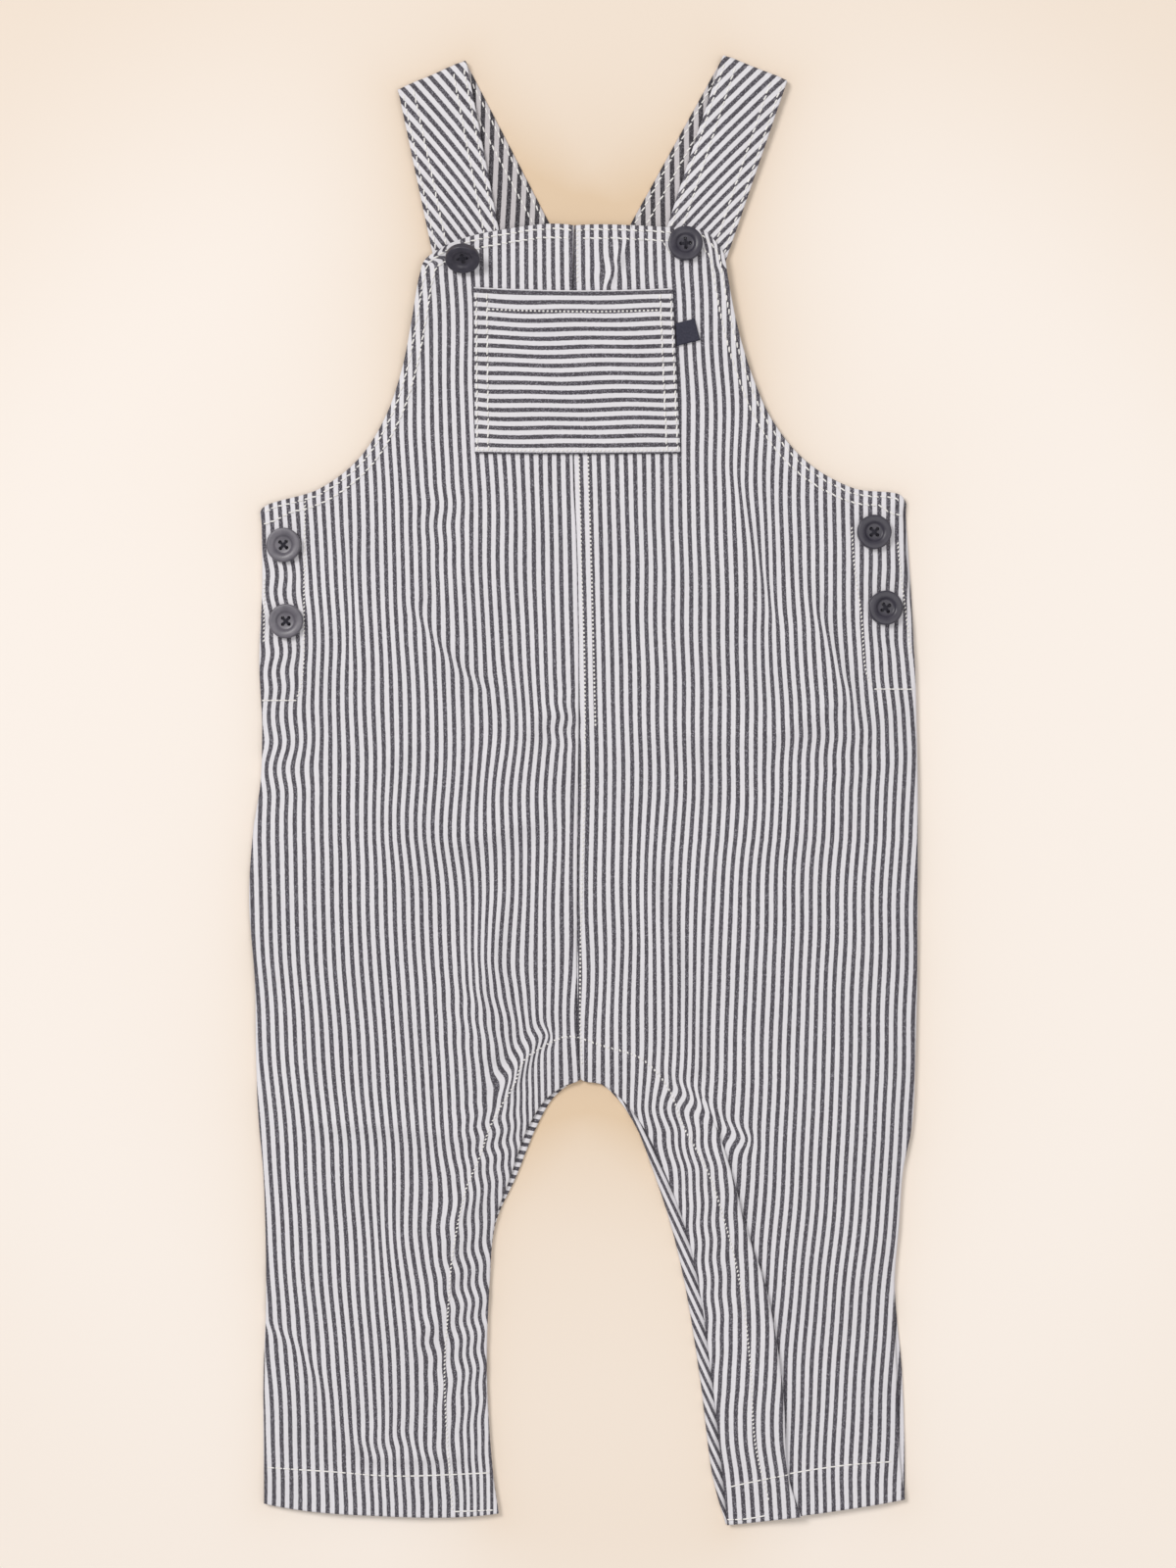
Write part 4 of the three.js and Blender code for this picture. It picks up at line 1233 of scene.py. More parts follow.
@dataclass(frozen=True)
class SimpleFinish:
    """A finish of one broad colour with its own grain.

    Attributes:
        second: Colour that the grain moves towards.
        grain: Size of the grain, as a noise scale on metres.
        bump: Depth of the grain in metres.
    """

    name: str
    colour: Colour
    second: Colour
    grain: float
    roughness: float
    bump: float

    def material(self) -> bpy.types.Material:
        """Build the material.

        Returns:
            The material.
        """
        material, graph = new_material(self.name)
        solid = graph.add("ShaderNodeTexCoord").outputs["Object"]
        grain = graph.noise(solid, self.grain, 4.0)
        colour = graph.blend(graph.ramp(grain, 0.3, 0.7), self.colour, self.second)
        bump = graph.add("ShaderNodeBump", {"Height": grain, "Strength": 0.5, "Distance": self.bump})
        roughness = graph.math("MULTIPLY_ADD", grain, 0.2, self.roughness - 0.1)
        shader = graph.add(
            "ShaderNodeBsdfPrincipled",
            {"Base Color": colour, "Roughness": roughness, "Normal": bump.outputs["Normal"]},
        )
        graph.add("ShaderNodeOutputMaterial", {"Surface": shader.outputs["BSDF"]})
        return material


def dress(piece: bpy.types.Object, material: bpy.types.Material, slot: Slot, *nodes: str) -> bpy.types.Object:
    """Give a piece its material and its body, and hide the solids it stands for.

    Args:
        piece: The object.
        material: Its material.
        slot: Slot of the record that the finish belongs to; not used.
        nodes: Solids of the frame that the piece replaces.

    Returns:
        The piece.
    """
    piece.data.materials.append(material)
    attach(piece, BODY)
    if nodes:
        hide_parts(*nodes)
    return piece


@dataclass(frozen=True)
class Cut:
    """What a piece of cloth was cut to, in metres, and what it lies on."""

    width: float
    length: float
    area: float
    rests_on: tuple[str, ...] = ()


def dress_cloth(grid: ClothGrid, node: str, finish: StripedCotton) -> bpy.types.Object:
    """Args:
        grid: Its two faces.
        node: The solid.
        finish: Its finish.

    Returns:
        The piece.
    """
    piece = dress(grid.build(f"{node}_cloth"), finish.material(), Slot.COTTON, node)
    return piece


class Surface:
    """The outer faces of some built pieces, for laying things on from above."""

    def __init__(self, pieces: Sequence[bpy.types.Object]) -> None:
        """Gather the faces of the pieces.

        Args:
            pieces: The pieces, at the origin.
        """
        vertices: list[Vector] = []
        faces: list[tuple[int, ...]] = []
        for piece in pieces:
            shift = len(vertices)
            vertices += [vertex.co / MM for vertex in piece.data.vertices]
            faces += [tuple(index + shift for index in polygon.vertices) for polygon in piece.data.polygons]
        self.tree = BVHTree.FromPolygons(vertices, faces)

    def lay(self, plan: np.ndarray, lift: float) -> Line:
        """Points a lift above the highest faces at plan points, with the faces' normals.

        Args:
            plan: Plan points, one a row.
            lift: Distance above the faces.

        Returns:
            The points and the normals, without those that miss every face.
        """
        down = Vector((0.0, 0.0, -1.0))
        hits = [self.tree.ray_cast(Vector((x, y, 90.0)), down) for x, y in plan.tolist()]
        pairs = [(place + normal * lift, normal) for place, normal, _, _ in hits if place is not None]
        points, normals = zip(*pairs)
        return np.array(points), np.array(normals)


@dataclass
class FrontPanel:
    """Half of the front: cloth that bows up over the back, on the right with a pleat down the leg."""

    node: str
    cloth: FrontCloth
    half: HalfPlan
    finish: StripedCotton
    cut: Cut
    spacing: float = 1.35
    columns: int = 94
    has_pleat: bool = False
    pleat_height: float = 3.1
    pleat_reach: float = 12.0
    pleat_tuck: float = 2.6
    lip_columns: int = 13
    lip_turn: float = 0.72  # share of the lip that is its round nose
    lip_width: float = 3.0  # width of the lip's columns where there is no pleat
    common_width: float = 112.0  # of a half, for the shares of its close columns
    # How far the stripes of the strip inside the pleat lie right of where they enter it, as (y, distance)
    strip_shift: tuple[Point, ...] = (
        (-300, 8.0), (-278, 6.3), (-266, 4.6), (-254, 4.3), (-242, 5.1), (-230, 5.7), (-217, 5.9),
        (-205, 5.3), (-189, 4.6), (-173, 4.1), (-158, 3.8), (-153, 3.2), (-149, 2.0), (-145, 1.1),
        (-134, 1.3),
    )

    def _shares(self) -> tuple[np.ndarray, int]:
        """Spread the columns.

        Returns:
            Their shares, and how many lie before the lip.
        """
        if not self.has_pleat:
            return grid_shares(self.common_width, self.columns), 0
        edge = np.array(EDGE_STEPS) / self.common_width
        inner_count = round(self.columns * CREASE_SHARE)
        clear = self.lip_width / self.common_width
        inner = np.linspace(edge[-1], CREASE_SHARE - clear, inner_count)[1:]
        outer = np.linspace(CREASE_SHARE + clear, 1.0 - edge[-1], self.columns - inner_count)[:-1]
        before = np.concatenate([edge, inner])
        lip = np.full(self.lip_columns, CREASE_SHARE)
        return np.concatenate([before, lip, outer, 1.0 - edge[::-1]]), len(before)

    def _pleat_rise(self, y: np.ndarray) -> np.ndarray:
        """Height of the pleat's lip at heights y down the leg."""
        start = smooth((-124.0 - y) / 42.0)
        return self.pleat_height * start * (1.0 - 0.45 * smooth((-252.0 - y) / 36.0))

    def grid(self) -> ClothGrid:
        """Shape the half.

        Returns:
            Both its faces.
        """
        stations = self.half.fine_stations(self.spacing)
        shares, before = self._shares()
        plan = self.half.point(stations[:, None], shares[None, :])
        x, y = plan[..., 0], plan[..., 1]
        under = self.cloth.underside(x, y)
        top = under + CLOTH + self.cloth.relief(x, y)
        across = self.cloth.across(x, y, self.half.side)
        upper_x = x.copy()
        lower_x = x.copy()
        lower_z = under.copy()
        unrolled = x.copy()
        if self.has_pleat:
            lip = slice(before, before + self.lip_columns)
            beyond = slice(before + self.lip_columns, None)
            line = x[:, before:before + 1]
            rise = self._pleat_rise(y[:, before:before + 1])
            amount = rise / self.pleat_height
            part = np.linspace(0.0, 1.0, self.lip_columns)[None, :]
            inner_reach = line - x[:, :before]
            ridge = rise * np.exp(-((inner_reach / self.pleat_reach) ** 2))
            top[:, :before] += ridge
            lower_z[:, :before] += ridge
            radius = 0.46 * rise
            turn = np.clip(part / self.lip_turn, 0.0, 1.0) * math.pi
            tuck = np.clip((part - self.lip_turn) / (1.0 - self.lip_turn), 0.0, 1.0)
            nose_x = radius * np.sin(turn) - self.pleat_tuck * amount * tuck
            nose_z = (rise - radius * (1.0 - np.cos(turn))) * (1.0 - tuck)
            flat_x = (part - 0.5) * self.lip_width
            upper_x[:, lip] = line + mix(flat_x, nose_x, smooth(amount * 2.0))
            top[:, lip] += nose_z
            lower_x[:, lip] = line + (part - 0.5) * self.lip_width / 2.0
            lower_z[:, lip] += rise * (1.0 - part)
            outer_reach = x[:, beyond] - line
            pulled = 1.0 - smooth((outer_reach - self.lip_width) / 7.0)
            upper_x[:, beyond] -= self.pleat_tuck * amount * pulled
            across = self._pleated_across(across, x, y, upper_x, top, line, before)
            step_x = np.diff(upper_x[:, lip], axis=1)
            step_z = np.diff(top[:, lip], axis=1)
            length = np.cumsum(np.hypot(step_x, step_z), axis=1)
            unrolled[:, before] = upper_x[:, before]
            unrolled[:, before + 1:lip.stop] = upper_x[:, before:before + 1] + length
            gain = unrolled[:, lip.stop - 1:lip.stop] - upper_x[:, lip.stop - 1:lip.stop]
            unrolled[:, beyond] = upper_x[:, beyond] + gain
        lower = np.stack([lower_x, y, lower_z], axis=-1)
        upper = np.stack([upper_x, y, top], axis=-1)
        grid = ClothGrid(lower, upper, np.stack([across, y], axis=-1), np.stack([unrolled, y], axis=-1))
        grid.round_edges()
        return grid

    def _pleated_across(self, across: np.ndarray, x: np.ndarray, y: np.ndarray, upper_x: np.ndarray,
                        top: np.ndarray, line: np.ndarray, before: int) -> np.ndarray:
        """Distance across the stripes where the pleat swallows some of the cloth.

        Args:
            across: Distance across the stripes without the pleat.
            x: Plan x of the grid.
            y: Plan y of the grid.
            upper_x: x of the outer face.
            top: Height of the outer face.
            line: x of the pleat in each row.
            before: Number of columns before the lip.

        Returns:
            The distance across the stripes.
        """
        waves = sum(ripple.slip * ripple.wave(x, y) for ripple in RIPPLES)
        entering = np.full_like(y, CROTCH)
        strip = self.cloth.across(x - read_curve(self.strip_shift, y), entering, self.half.side) - waves
        inner = mix(across, strip, smooth((-128.0 - y) / 13.0))
        last = before + self.lip_columns
        result = across.copy()
        result[:, :before] = inner[:, :before]
        result[:, last:] = self.cloth.across(upper_x[:, last:], y[:, last:], self.half.side)
        steps = np.hypot(np.diff(upper_x[:, before:last], axis=1), np.diff(top[:, before:last], axis=1))
        length = np.concatenate([np.zeros((len(steps), 1)), np.cumsum(steps, axis=1)], axis=1)
        start = inner[:, before:before + 1] + upper_x[:, before:before + 1] - line
        end = result[:, last:last + 1] - (upper_x[:, last:last + 1] - upper_x[:, last - 1:last])
        hidden = smooth((np.linspace(0.0, 1.0, self.lip_columns)[None, :] - 0.55) / 0.45)
        result[:, before:last] = mix(start + length, end - length[:, -1:] + length, hidden)
        return result

    def build(self) -> bpy.types.Object:
        """Make the half and dress it in its finish."""
        return dress_cloth(self.grid(), self.node, self.finish)


@dataclass
class BackPanel:
    """Half of the back: cloth that lies flat, with a roll where it shows past the front's inseam."""

    node: str
    half: HalfPlan
    front: HalfPlan
    finish: StripedCotton
    cut: Cut
    slant: float  # degrees that its stripes lean over where it shows past the front's inseam
    squeeze: float  # share of their pitch that is left there
    roll: float
    spacing: float = 2.6
    columns: int = 34
    common_width: float = 95.0  # of a half, for the shares of its close columns
    close_steps: tuple[float, ...] = (2.3, 3.1, 4.0, 5.0, 6.2, 8.0)  # distances of close columns on its roll
    slanted_share: float = 0.3

    def grid(self) -> ClothGrid:
        """Shape the half.

        Returns:
            Both its faces.
        """
        stations = self.half.fine_stations(self.spacing)
        shares = grid_shares(self.common_width, self.columns, self.close_steps)
        plan = self.half.point(stations[:, None], shares[None, :])
        x, y = plan[..., 0], plan[..., 1]
        front_edge = self.front.inner_at(np.minimum(stations, self.front.last))[:, None, 0]
        shown = np.maximum(self.half.side * (front_edge - x[:, :1]), 0.0)
        shown = shown * (stations[:, None] < self.half.crotch)
        inside = np.clip(self.half.side * (x - x[:, :1]) / np.maximum(shown, 0.1), 0.0, 1.0)
        rise = self.roll * smooth(shown / 4.0) * np.sin(math.pi * inside) ** 0.8
        upper = np.stack([x, y, CLOTH + rise], axis=-1)
        lower = np.stack([x, y, np.zeros_like(x)], axis=-1)
        angle = math.radians(self.slant)
        cos, sin = math.cos(angle), math.sin(angle)
        slanted = np.stack([x * cos + y * sin, y * cos - x * sin], axis=-1)
        straight = np.stack([x - seam_x(BACK_SEAM, y) - FrontCloth.lean(x, y), y], axis=-1)
        cloth = np.where((shares < self.slanted_share)[None, :, None], slanted / self.squeeze, straight)
        grid = ClothGrid(lower, upper, cloth, plan, cloth_under=straight)
        grid.round_edges()
        return grid

    def build(self) -> bpy.types.Object:
        """Make the half and dress it in its finish."""
        return dress_cloth(self.grid(), self.node, self.finish)


@dataclass
class Strap:
    """A strap: one strip, up from the back's top edge, folded over and down under the bib.

    Attributes:
        node: Solid of the frame that it stands for.
        back: Left and right end of the strip at the back's top edge.
        fold: Left and right end of the fold.
        front: Left and right end under the bib.
        bias: Millimetres that the stripes move across the strip for each along it.
        painted_shade_finish: A darker copy of the finish, painted shade on the run behind the fold, which
            lies in the front run's shadow.
    """

    node: str
    back: tuple[Point, Point]
    fold: tuple[Point, Point]
    front: tuple[Point, Point]
    bias: float
    finish: StripedCotton
    painted_shade_finish: StripedCotton
    cut: Cut
    fold_radius: float = 1.2
    run_rows: int = 62
    fold_rows: int = 16
    columns: int = 24
    swell: float = 0.25  # how much thicker the strip is between its stitch rows
    rows: tuple[float, ...] = (1.7, 6.3)  # stitch rows from each edge

    def outline(self) -> np.ndarray:
        """Pairs of plan points along the strap's edges."""
        sides = [(end, turn) for ends in (self.back, self.front) for end, turn in zip(ends, self.fold)]
        return np.array([*sides, self.fold])

    def _sections(self) -> tuple[np.ndarray, np.ndarray, np.ndarray]:
        """Lay out the strip's sections from the back's top edge on.

        Returns:
            Their left ends, right ends and outward normals.
        """
        (back_l, back_r), (fold_l, fold_r), (front_l, front_r) = (
            (np.array(ends[0]), np.array(ends[1])) for ends in (self.back, self.fold, self.front)
        )
        along = (fold_r - fold_l) / np.linalg.norm(fold_r - fold_l)
        away = np.array([-along[1], along[0]])
        reach = self.fold_radius + CLOTH / 2
        turn_l, turn_r = fold_l - away * reach, fold_r - away * reach
        low = CLOTH / 2
        top = low + 2.0 * self.fold_radius
        under_bib = FRONT_EDGE + CLOTH / 2
        lefts, rights, normals = [], [], []

        def add(left: np.ndarray, right: np.ndarray, z: float, normal: Sequence[float]) -> None:
            """Add one section.

            Args:
                left: Its left end in plan.
                right: Its right end in plan.
                z: Its height.
                normal: Its outward normal.
            """
            lefts.append((*left, z))
            rights.append((*right, z))
            normals.append(normal)

        for t in np.linspace(0.0, 1.0, self.run_rows, endpoint=False):
            add(mix(back_l, turn_l, t), mix(back_r, turn_r, t), low, (0.0, 0.0, -1.0))
        for angle in np.linspace(0.0, math.pi, self.fold_rows):
            shift = away * math.sin(angle)
            height = low + self.fold_radius * (1.0 - math.cos(angle))
            add(turn_l + shift * self.fold_radius, turn_r + shift * self.fold_radius, height,
                (*shift, -math.cos(angle)))
        for t in np.linspace(0.0, 1.0, self.run_rows + 1)[1:]:
            height = mix(top, under_bib, smooth(t * 1.15))
            add(mix(turn_l, front_l, t), mix(turn_r, front_r, t), height, (0.0, 0.0, 1.0))
        return np.array(lefts), np.array(rights), np.array(normals)

    def _middle_line(self) -> tuple[np.ndarray, np.ndarray, np.ndarray]:
        """Left ends, spans to the right ends, and lengths along the strip's middle."""
        lefts, rights, _ = self._sections()
        return lefts, rights - lefts, run_lengths((lefts + rights) / 2.0)

    def grid(self) -> ClothGrid:
        """Shape the strip.

        Returns:
            Both its faces.
        """
        lefts, rights, normals = self._sections()
        width = float(np.linalg.norm(rights[0] - lefts[0]))
        shares = grid_shares(width, self.columns)
        middle = lefts[:, None] + (rights - lefts)[:, None] * shares[None, :, None]
        _, spans, length = self._middle_line()
        widths = np.linalg.norm(spans, axis=1)[:, None]
        from_edge = np.minimum(shares, 1.0 - shares)[None, :] * widths
        half_wall = self._half_wall(from_edge, length[:, None])[..., None] * normals[:, None, :]
        across = shares[None, :] * widths
        turn = math.cos(math.atan(self.bias))
        cloth = np.stack([(across - self.bias * length[:, None]) * turn,
                          (length[:, None] + self.bias * across) * turn], axis=-1)
        flat = np.stack([across, np.broadcast_to(length[:, None], across.shape)], axis=-1)
        grid = ClothGrid(middle - half_wall, middle + half_wall, cloth, flat)
        grid.round_edges()
        return grid

    def _half_wall(self, from_edge: np.ndarray, length: np.ndarray) -> np.ndarray:
        """Half the strip's thickness, less under its stitch rows.

        Args:
            from_edge: Distances from the strip's nearer edge.
            length: Distances along the strip.

        Returns:
            Half the thickness.
        """
        swell = self.swell * smooth((from_edge - self.rows[0]) / 2.5)
        waver = 0.26 * np.sin(length / 4.1 + from_edge / 7.0) * np.sin(from_edge / 3.0)
        pinch = sum(0.16 * np.exp(-(((from_edge - row) / 0.7) ** 2)) for row in self.rows)
        return CLOTH / 2 + 0.5 * swell + 0.5 * waver - pinch

    def stitch_lines(self) -> list[Line]:
        """Lay the stitch rows on the faces that show.

        Returns:
            Points and normals of each row.
        """
        lefts, rights, normals = self._sections()
        length = self._middle_line()[2]
        widths = np.linalg.norm(rights - lefts, axis=1)
        lines = []
        for run, side in ((slice(2, self.run_rows), -1.0), (slice(self.run_rows + self.fold_rows, -6), 1.0)):
            up = normals[run] * side
            for inset in self.rows:
                for share in (inset / widths[run], 1.0 - inset / widths[run]):
                    points = lefts[run] + (rights - lefts)[run] * share[:, None]
                    height = self._half_wall(np.full(len(points), inset), length[run]) + 0.08
                    lines.append((points + up * height[:, None], up))
        return lines

    def build(self) -> bpy.types.Object:
        """Make the strap and dress it in its two finishes.

        Returns:
            The strap.
        """
        grid = self.grid()
        piece = dress_cloth(grid, self.node, self.finish)
        # The run behind the fold takes a darker copy of the cotton: painted shade for the front run's shadow
        # on it.
        piece.data.materials.append(self.painted_shade_finish.material())
        rows, columns = grid.upper.shape[:2]
        behind = self.run_rows + self.fold_rows // 2
        for polygon in piece.data.polygons[: behind * (columns - 1)]:
            polygon.material_index = 1
        return piece


@dataclass
class Patch:
    """A four-cornered piece of cloth that lies on the front.

    Attributes:
        node: Solid of the frame that it stands for.
        top: Its left and right corner at the top.
        bottom: Its left and right corner at the bottom.
        cloth: The front it lies on.
        spacing: Distance between the grid's lines.
        lift: How far it lies above the front's smooth outer face.
        hem: Depth of the turned hem at the top, or none.
        sag: How far the top edge hangs down in its middle.
    """

    node: str
    top: tuple[Point, Point]
    bottom: tuple[Point, Point]
    cloth: FrontCloth
    spacing: float
    wall: float
    lift: float = 0.35
    hem: float = 0.0
    sag: float = 0.0

    def point(self, across: np.ndarray, up: np.ndarray) -> tuple[np.ndarray, np.ndarray]:
        """Find places of the patch in plan.

        Args:
            across: Shares across it.
            up: Shares up it.

        Returns:
            Plan x and plan y.
        """
        corners = [np.array(corner) for corner in (*self.bottom, *self.top)]
        low = mix(corners[0], corners[1], across[..., None])
        high = mix(corners[2], corners[3], across[..., None])
        place = mix(low, high, up[..., None])
        belly = 4.0 * across * (1.0 - across)
        place[..., 1] -= belly * self.sag * (0.35 + 0.65 * up)
        return place[..., 0], place[..., 1]

    def face(self, x: np.ndarray, y: np.ndarray) -> np.ndarray:
        """Height of the patch's underside at plan points."""
        return self.cloth.underside(x, y) + CLOTH + self.lift

    def _shares(self, length: float) -> np.ndarray:
        """Shares of grid lines along an edge of a given length."""
        return grid_shares(length, max(4, round(length / self.spacing)))

    def grid(self) -> ClothGrid:
        """Shape the patch.

        Returns:
            Both its faces.
        """
        width = self.top[1][0] - self.top[0][0]
        height = self.top[0][1] - self.bottom[0][1]
        up, across = np.meshgrid(self._shares(height), self._shares(width), indexing="ij")
        x, y = self.point(across, up)
        under = self.face(x, y)
        lines = 0.18 * np.sin(x / 7.3 + 1.1 * np.sin(y / 9.0)) * np.sin(y / 11.0 + 0.6)
        from_side, from_end = np.minimum(across, 1.0 - across) * width, np.minimum(up, 1.0 - up) * height
        calm = smooth(np.minimum(from_side, from_end) / 6.0)
        turned = 0.35 * smooth((self.hem + 0.6 - (1.0 - up) * height) / 1.2) if self.hem else 0.0
        top = under + self.wall + turned + lines * calm
        upper = np.stack([x, y, top], axis=-1)
        lower = np.stack([x, y, under], axis=-1)
        ripple = 0.25 * np.sin(x / 13.0 + 0.5) + 0.2 * np.sin(x / 6.0 + y / 9.0)
        cloth = np.stack([(1.0 - up) * height + ripple * calm, across * width], axis=-1)
        grid = ClothGrid(lower, upper, cloth, np.stack([x, y], axis=-1))
        grid.round_edges(min(RIM_ROUNDING, 0.45 * self.wall))
        return grid


@dataclass(frozen=True)
class Thread:
    """Sewing thread that shows as a row of stitches.

    Attributes:
        radius: Half its thickness.
        stitch: Length of one stitch.
        gap: Space between stitches.
        proud: How far a stitch's middle stands off the cloth.
        slant: How far a stitch leans across its row, as a share of its length.
    """

    radius: float = 0.29
    stitch: float = 2.2
    gap: float = 0.6
    proud: float = 0.1
    slant: float = 0.0

    SIDES = 6
    # Rings of a stitch, as (share along it, share of its radius, rise from its sunk ends)
    RINGS = ((0.0, 0.45, -1.0), (0.1, 0.9, 0.0), (0.5, 1.0, 1.0), (0.9, 0.9, 0.0), (1.0, 0.45, -1.0))

    def _row(self, points: np.ndarray, normals: np.ndarray) -> tuple[np.ndarray, list[tuple[int, ...]]]:
        """Stitches along a line.

        Args:
            points: Points of the line on the cloth.
            normals: The cloth's outward normal at each.

        Returns:
            Vertices of all the stitches, and their faces.
        """
        length = run_lengths(points)
        pitch = self.stitch + self.gap
        count = int(length[-1] // pitch)
        vertices: list[np.ndarray] = []
        faces: list[tuple[int, ...]] = []
        angles = np.arange(self.SIDES) * 2.0 * math.pi / self.SIDES
        for number in range(count):
            first = number * pitch + self.gap / 2
            places = np.array([first + ring[0] * self.stitch for ring in self.RINGS])
            centres = np.stack([np.interp(places, length, points[:, axis]) for axis in range(3)], axis=1)
            normal = np.array([np.interp(places[2], length, normals[:, axis]) for axis in range(3)])
            normal /= np.linalg.norm(normal)
            along = centres[-1] - centres[0]
            sideways = np.cross(along, normal)
            sideways /= max(float(np.linalg.norm(sideways)), 1e-9)
            base = len(vertices) * self.SIDES
            for centre, (place, share, rise) in zip(centres, self.RINGS):
                aside = self.slant * self.stitch * (place - 0.5)
                middle = centre + normal * (self.proud * rise) + sideways * aside
                spokes = np.outer(np.cos(angles), sideways) + np.outer(np.sin(angles), normal)
                vertices.append(middle + self.radius * share * spokes)
            tube = (base, len(self.RINGS), self.SIDES)
            faces += ring_faces(*tube) + end_faces(*tube)
        return np.concatenate(vertices) if vertices else np.zeros((0, 3)), faces

    def sew(self, name: str, lines: Sequence[Line], finish: SimpleFinish) -> bpy.types.Object:
        """Join the stitches of several lines in one piece.

        Args:
            name: Name of the piece.
            lines: Points and normals of each line.
            finish: The thread's finish.

        Returns:
            The piece.
        """
        vertices: list[np.ndarray] = []
        faces: list[tuple[int, ...]] = []
        total = 0
        for points, normals in lines:
            row_vertices, row_faces = self._row(points, normals)
            faces.extend(tuple(index + total for index in face) for face in row_faces)
            vertices.append(row_vertices)
            total += len(row_vertices)
        piece = add_object(name, np.concatenate(vertices), faces, is_smooth=True)
        return dress(piece, finish.material(), Slot.THREAD)


LONG_STITCH = Thread(radius=0.34, slant=0.2)
HEM_STITCH = Thread(radius=0.3, stitch=2.9, gap=0.35)
SHORT_STITCH = Thread(radius=0.4, stitch=0.9, gap=0.8, proud=0.12)
ROPE_STITCH = Thread(radius=0.37, stitch=0.9, gap=0.75, proud=0.12, slant=0.5)
BAR_STITCH = Thread(radius=0.3, stitch=1.7, gap=0.1, proud=0.08)


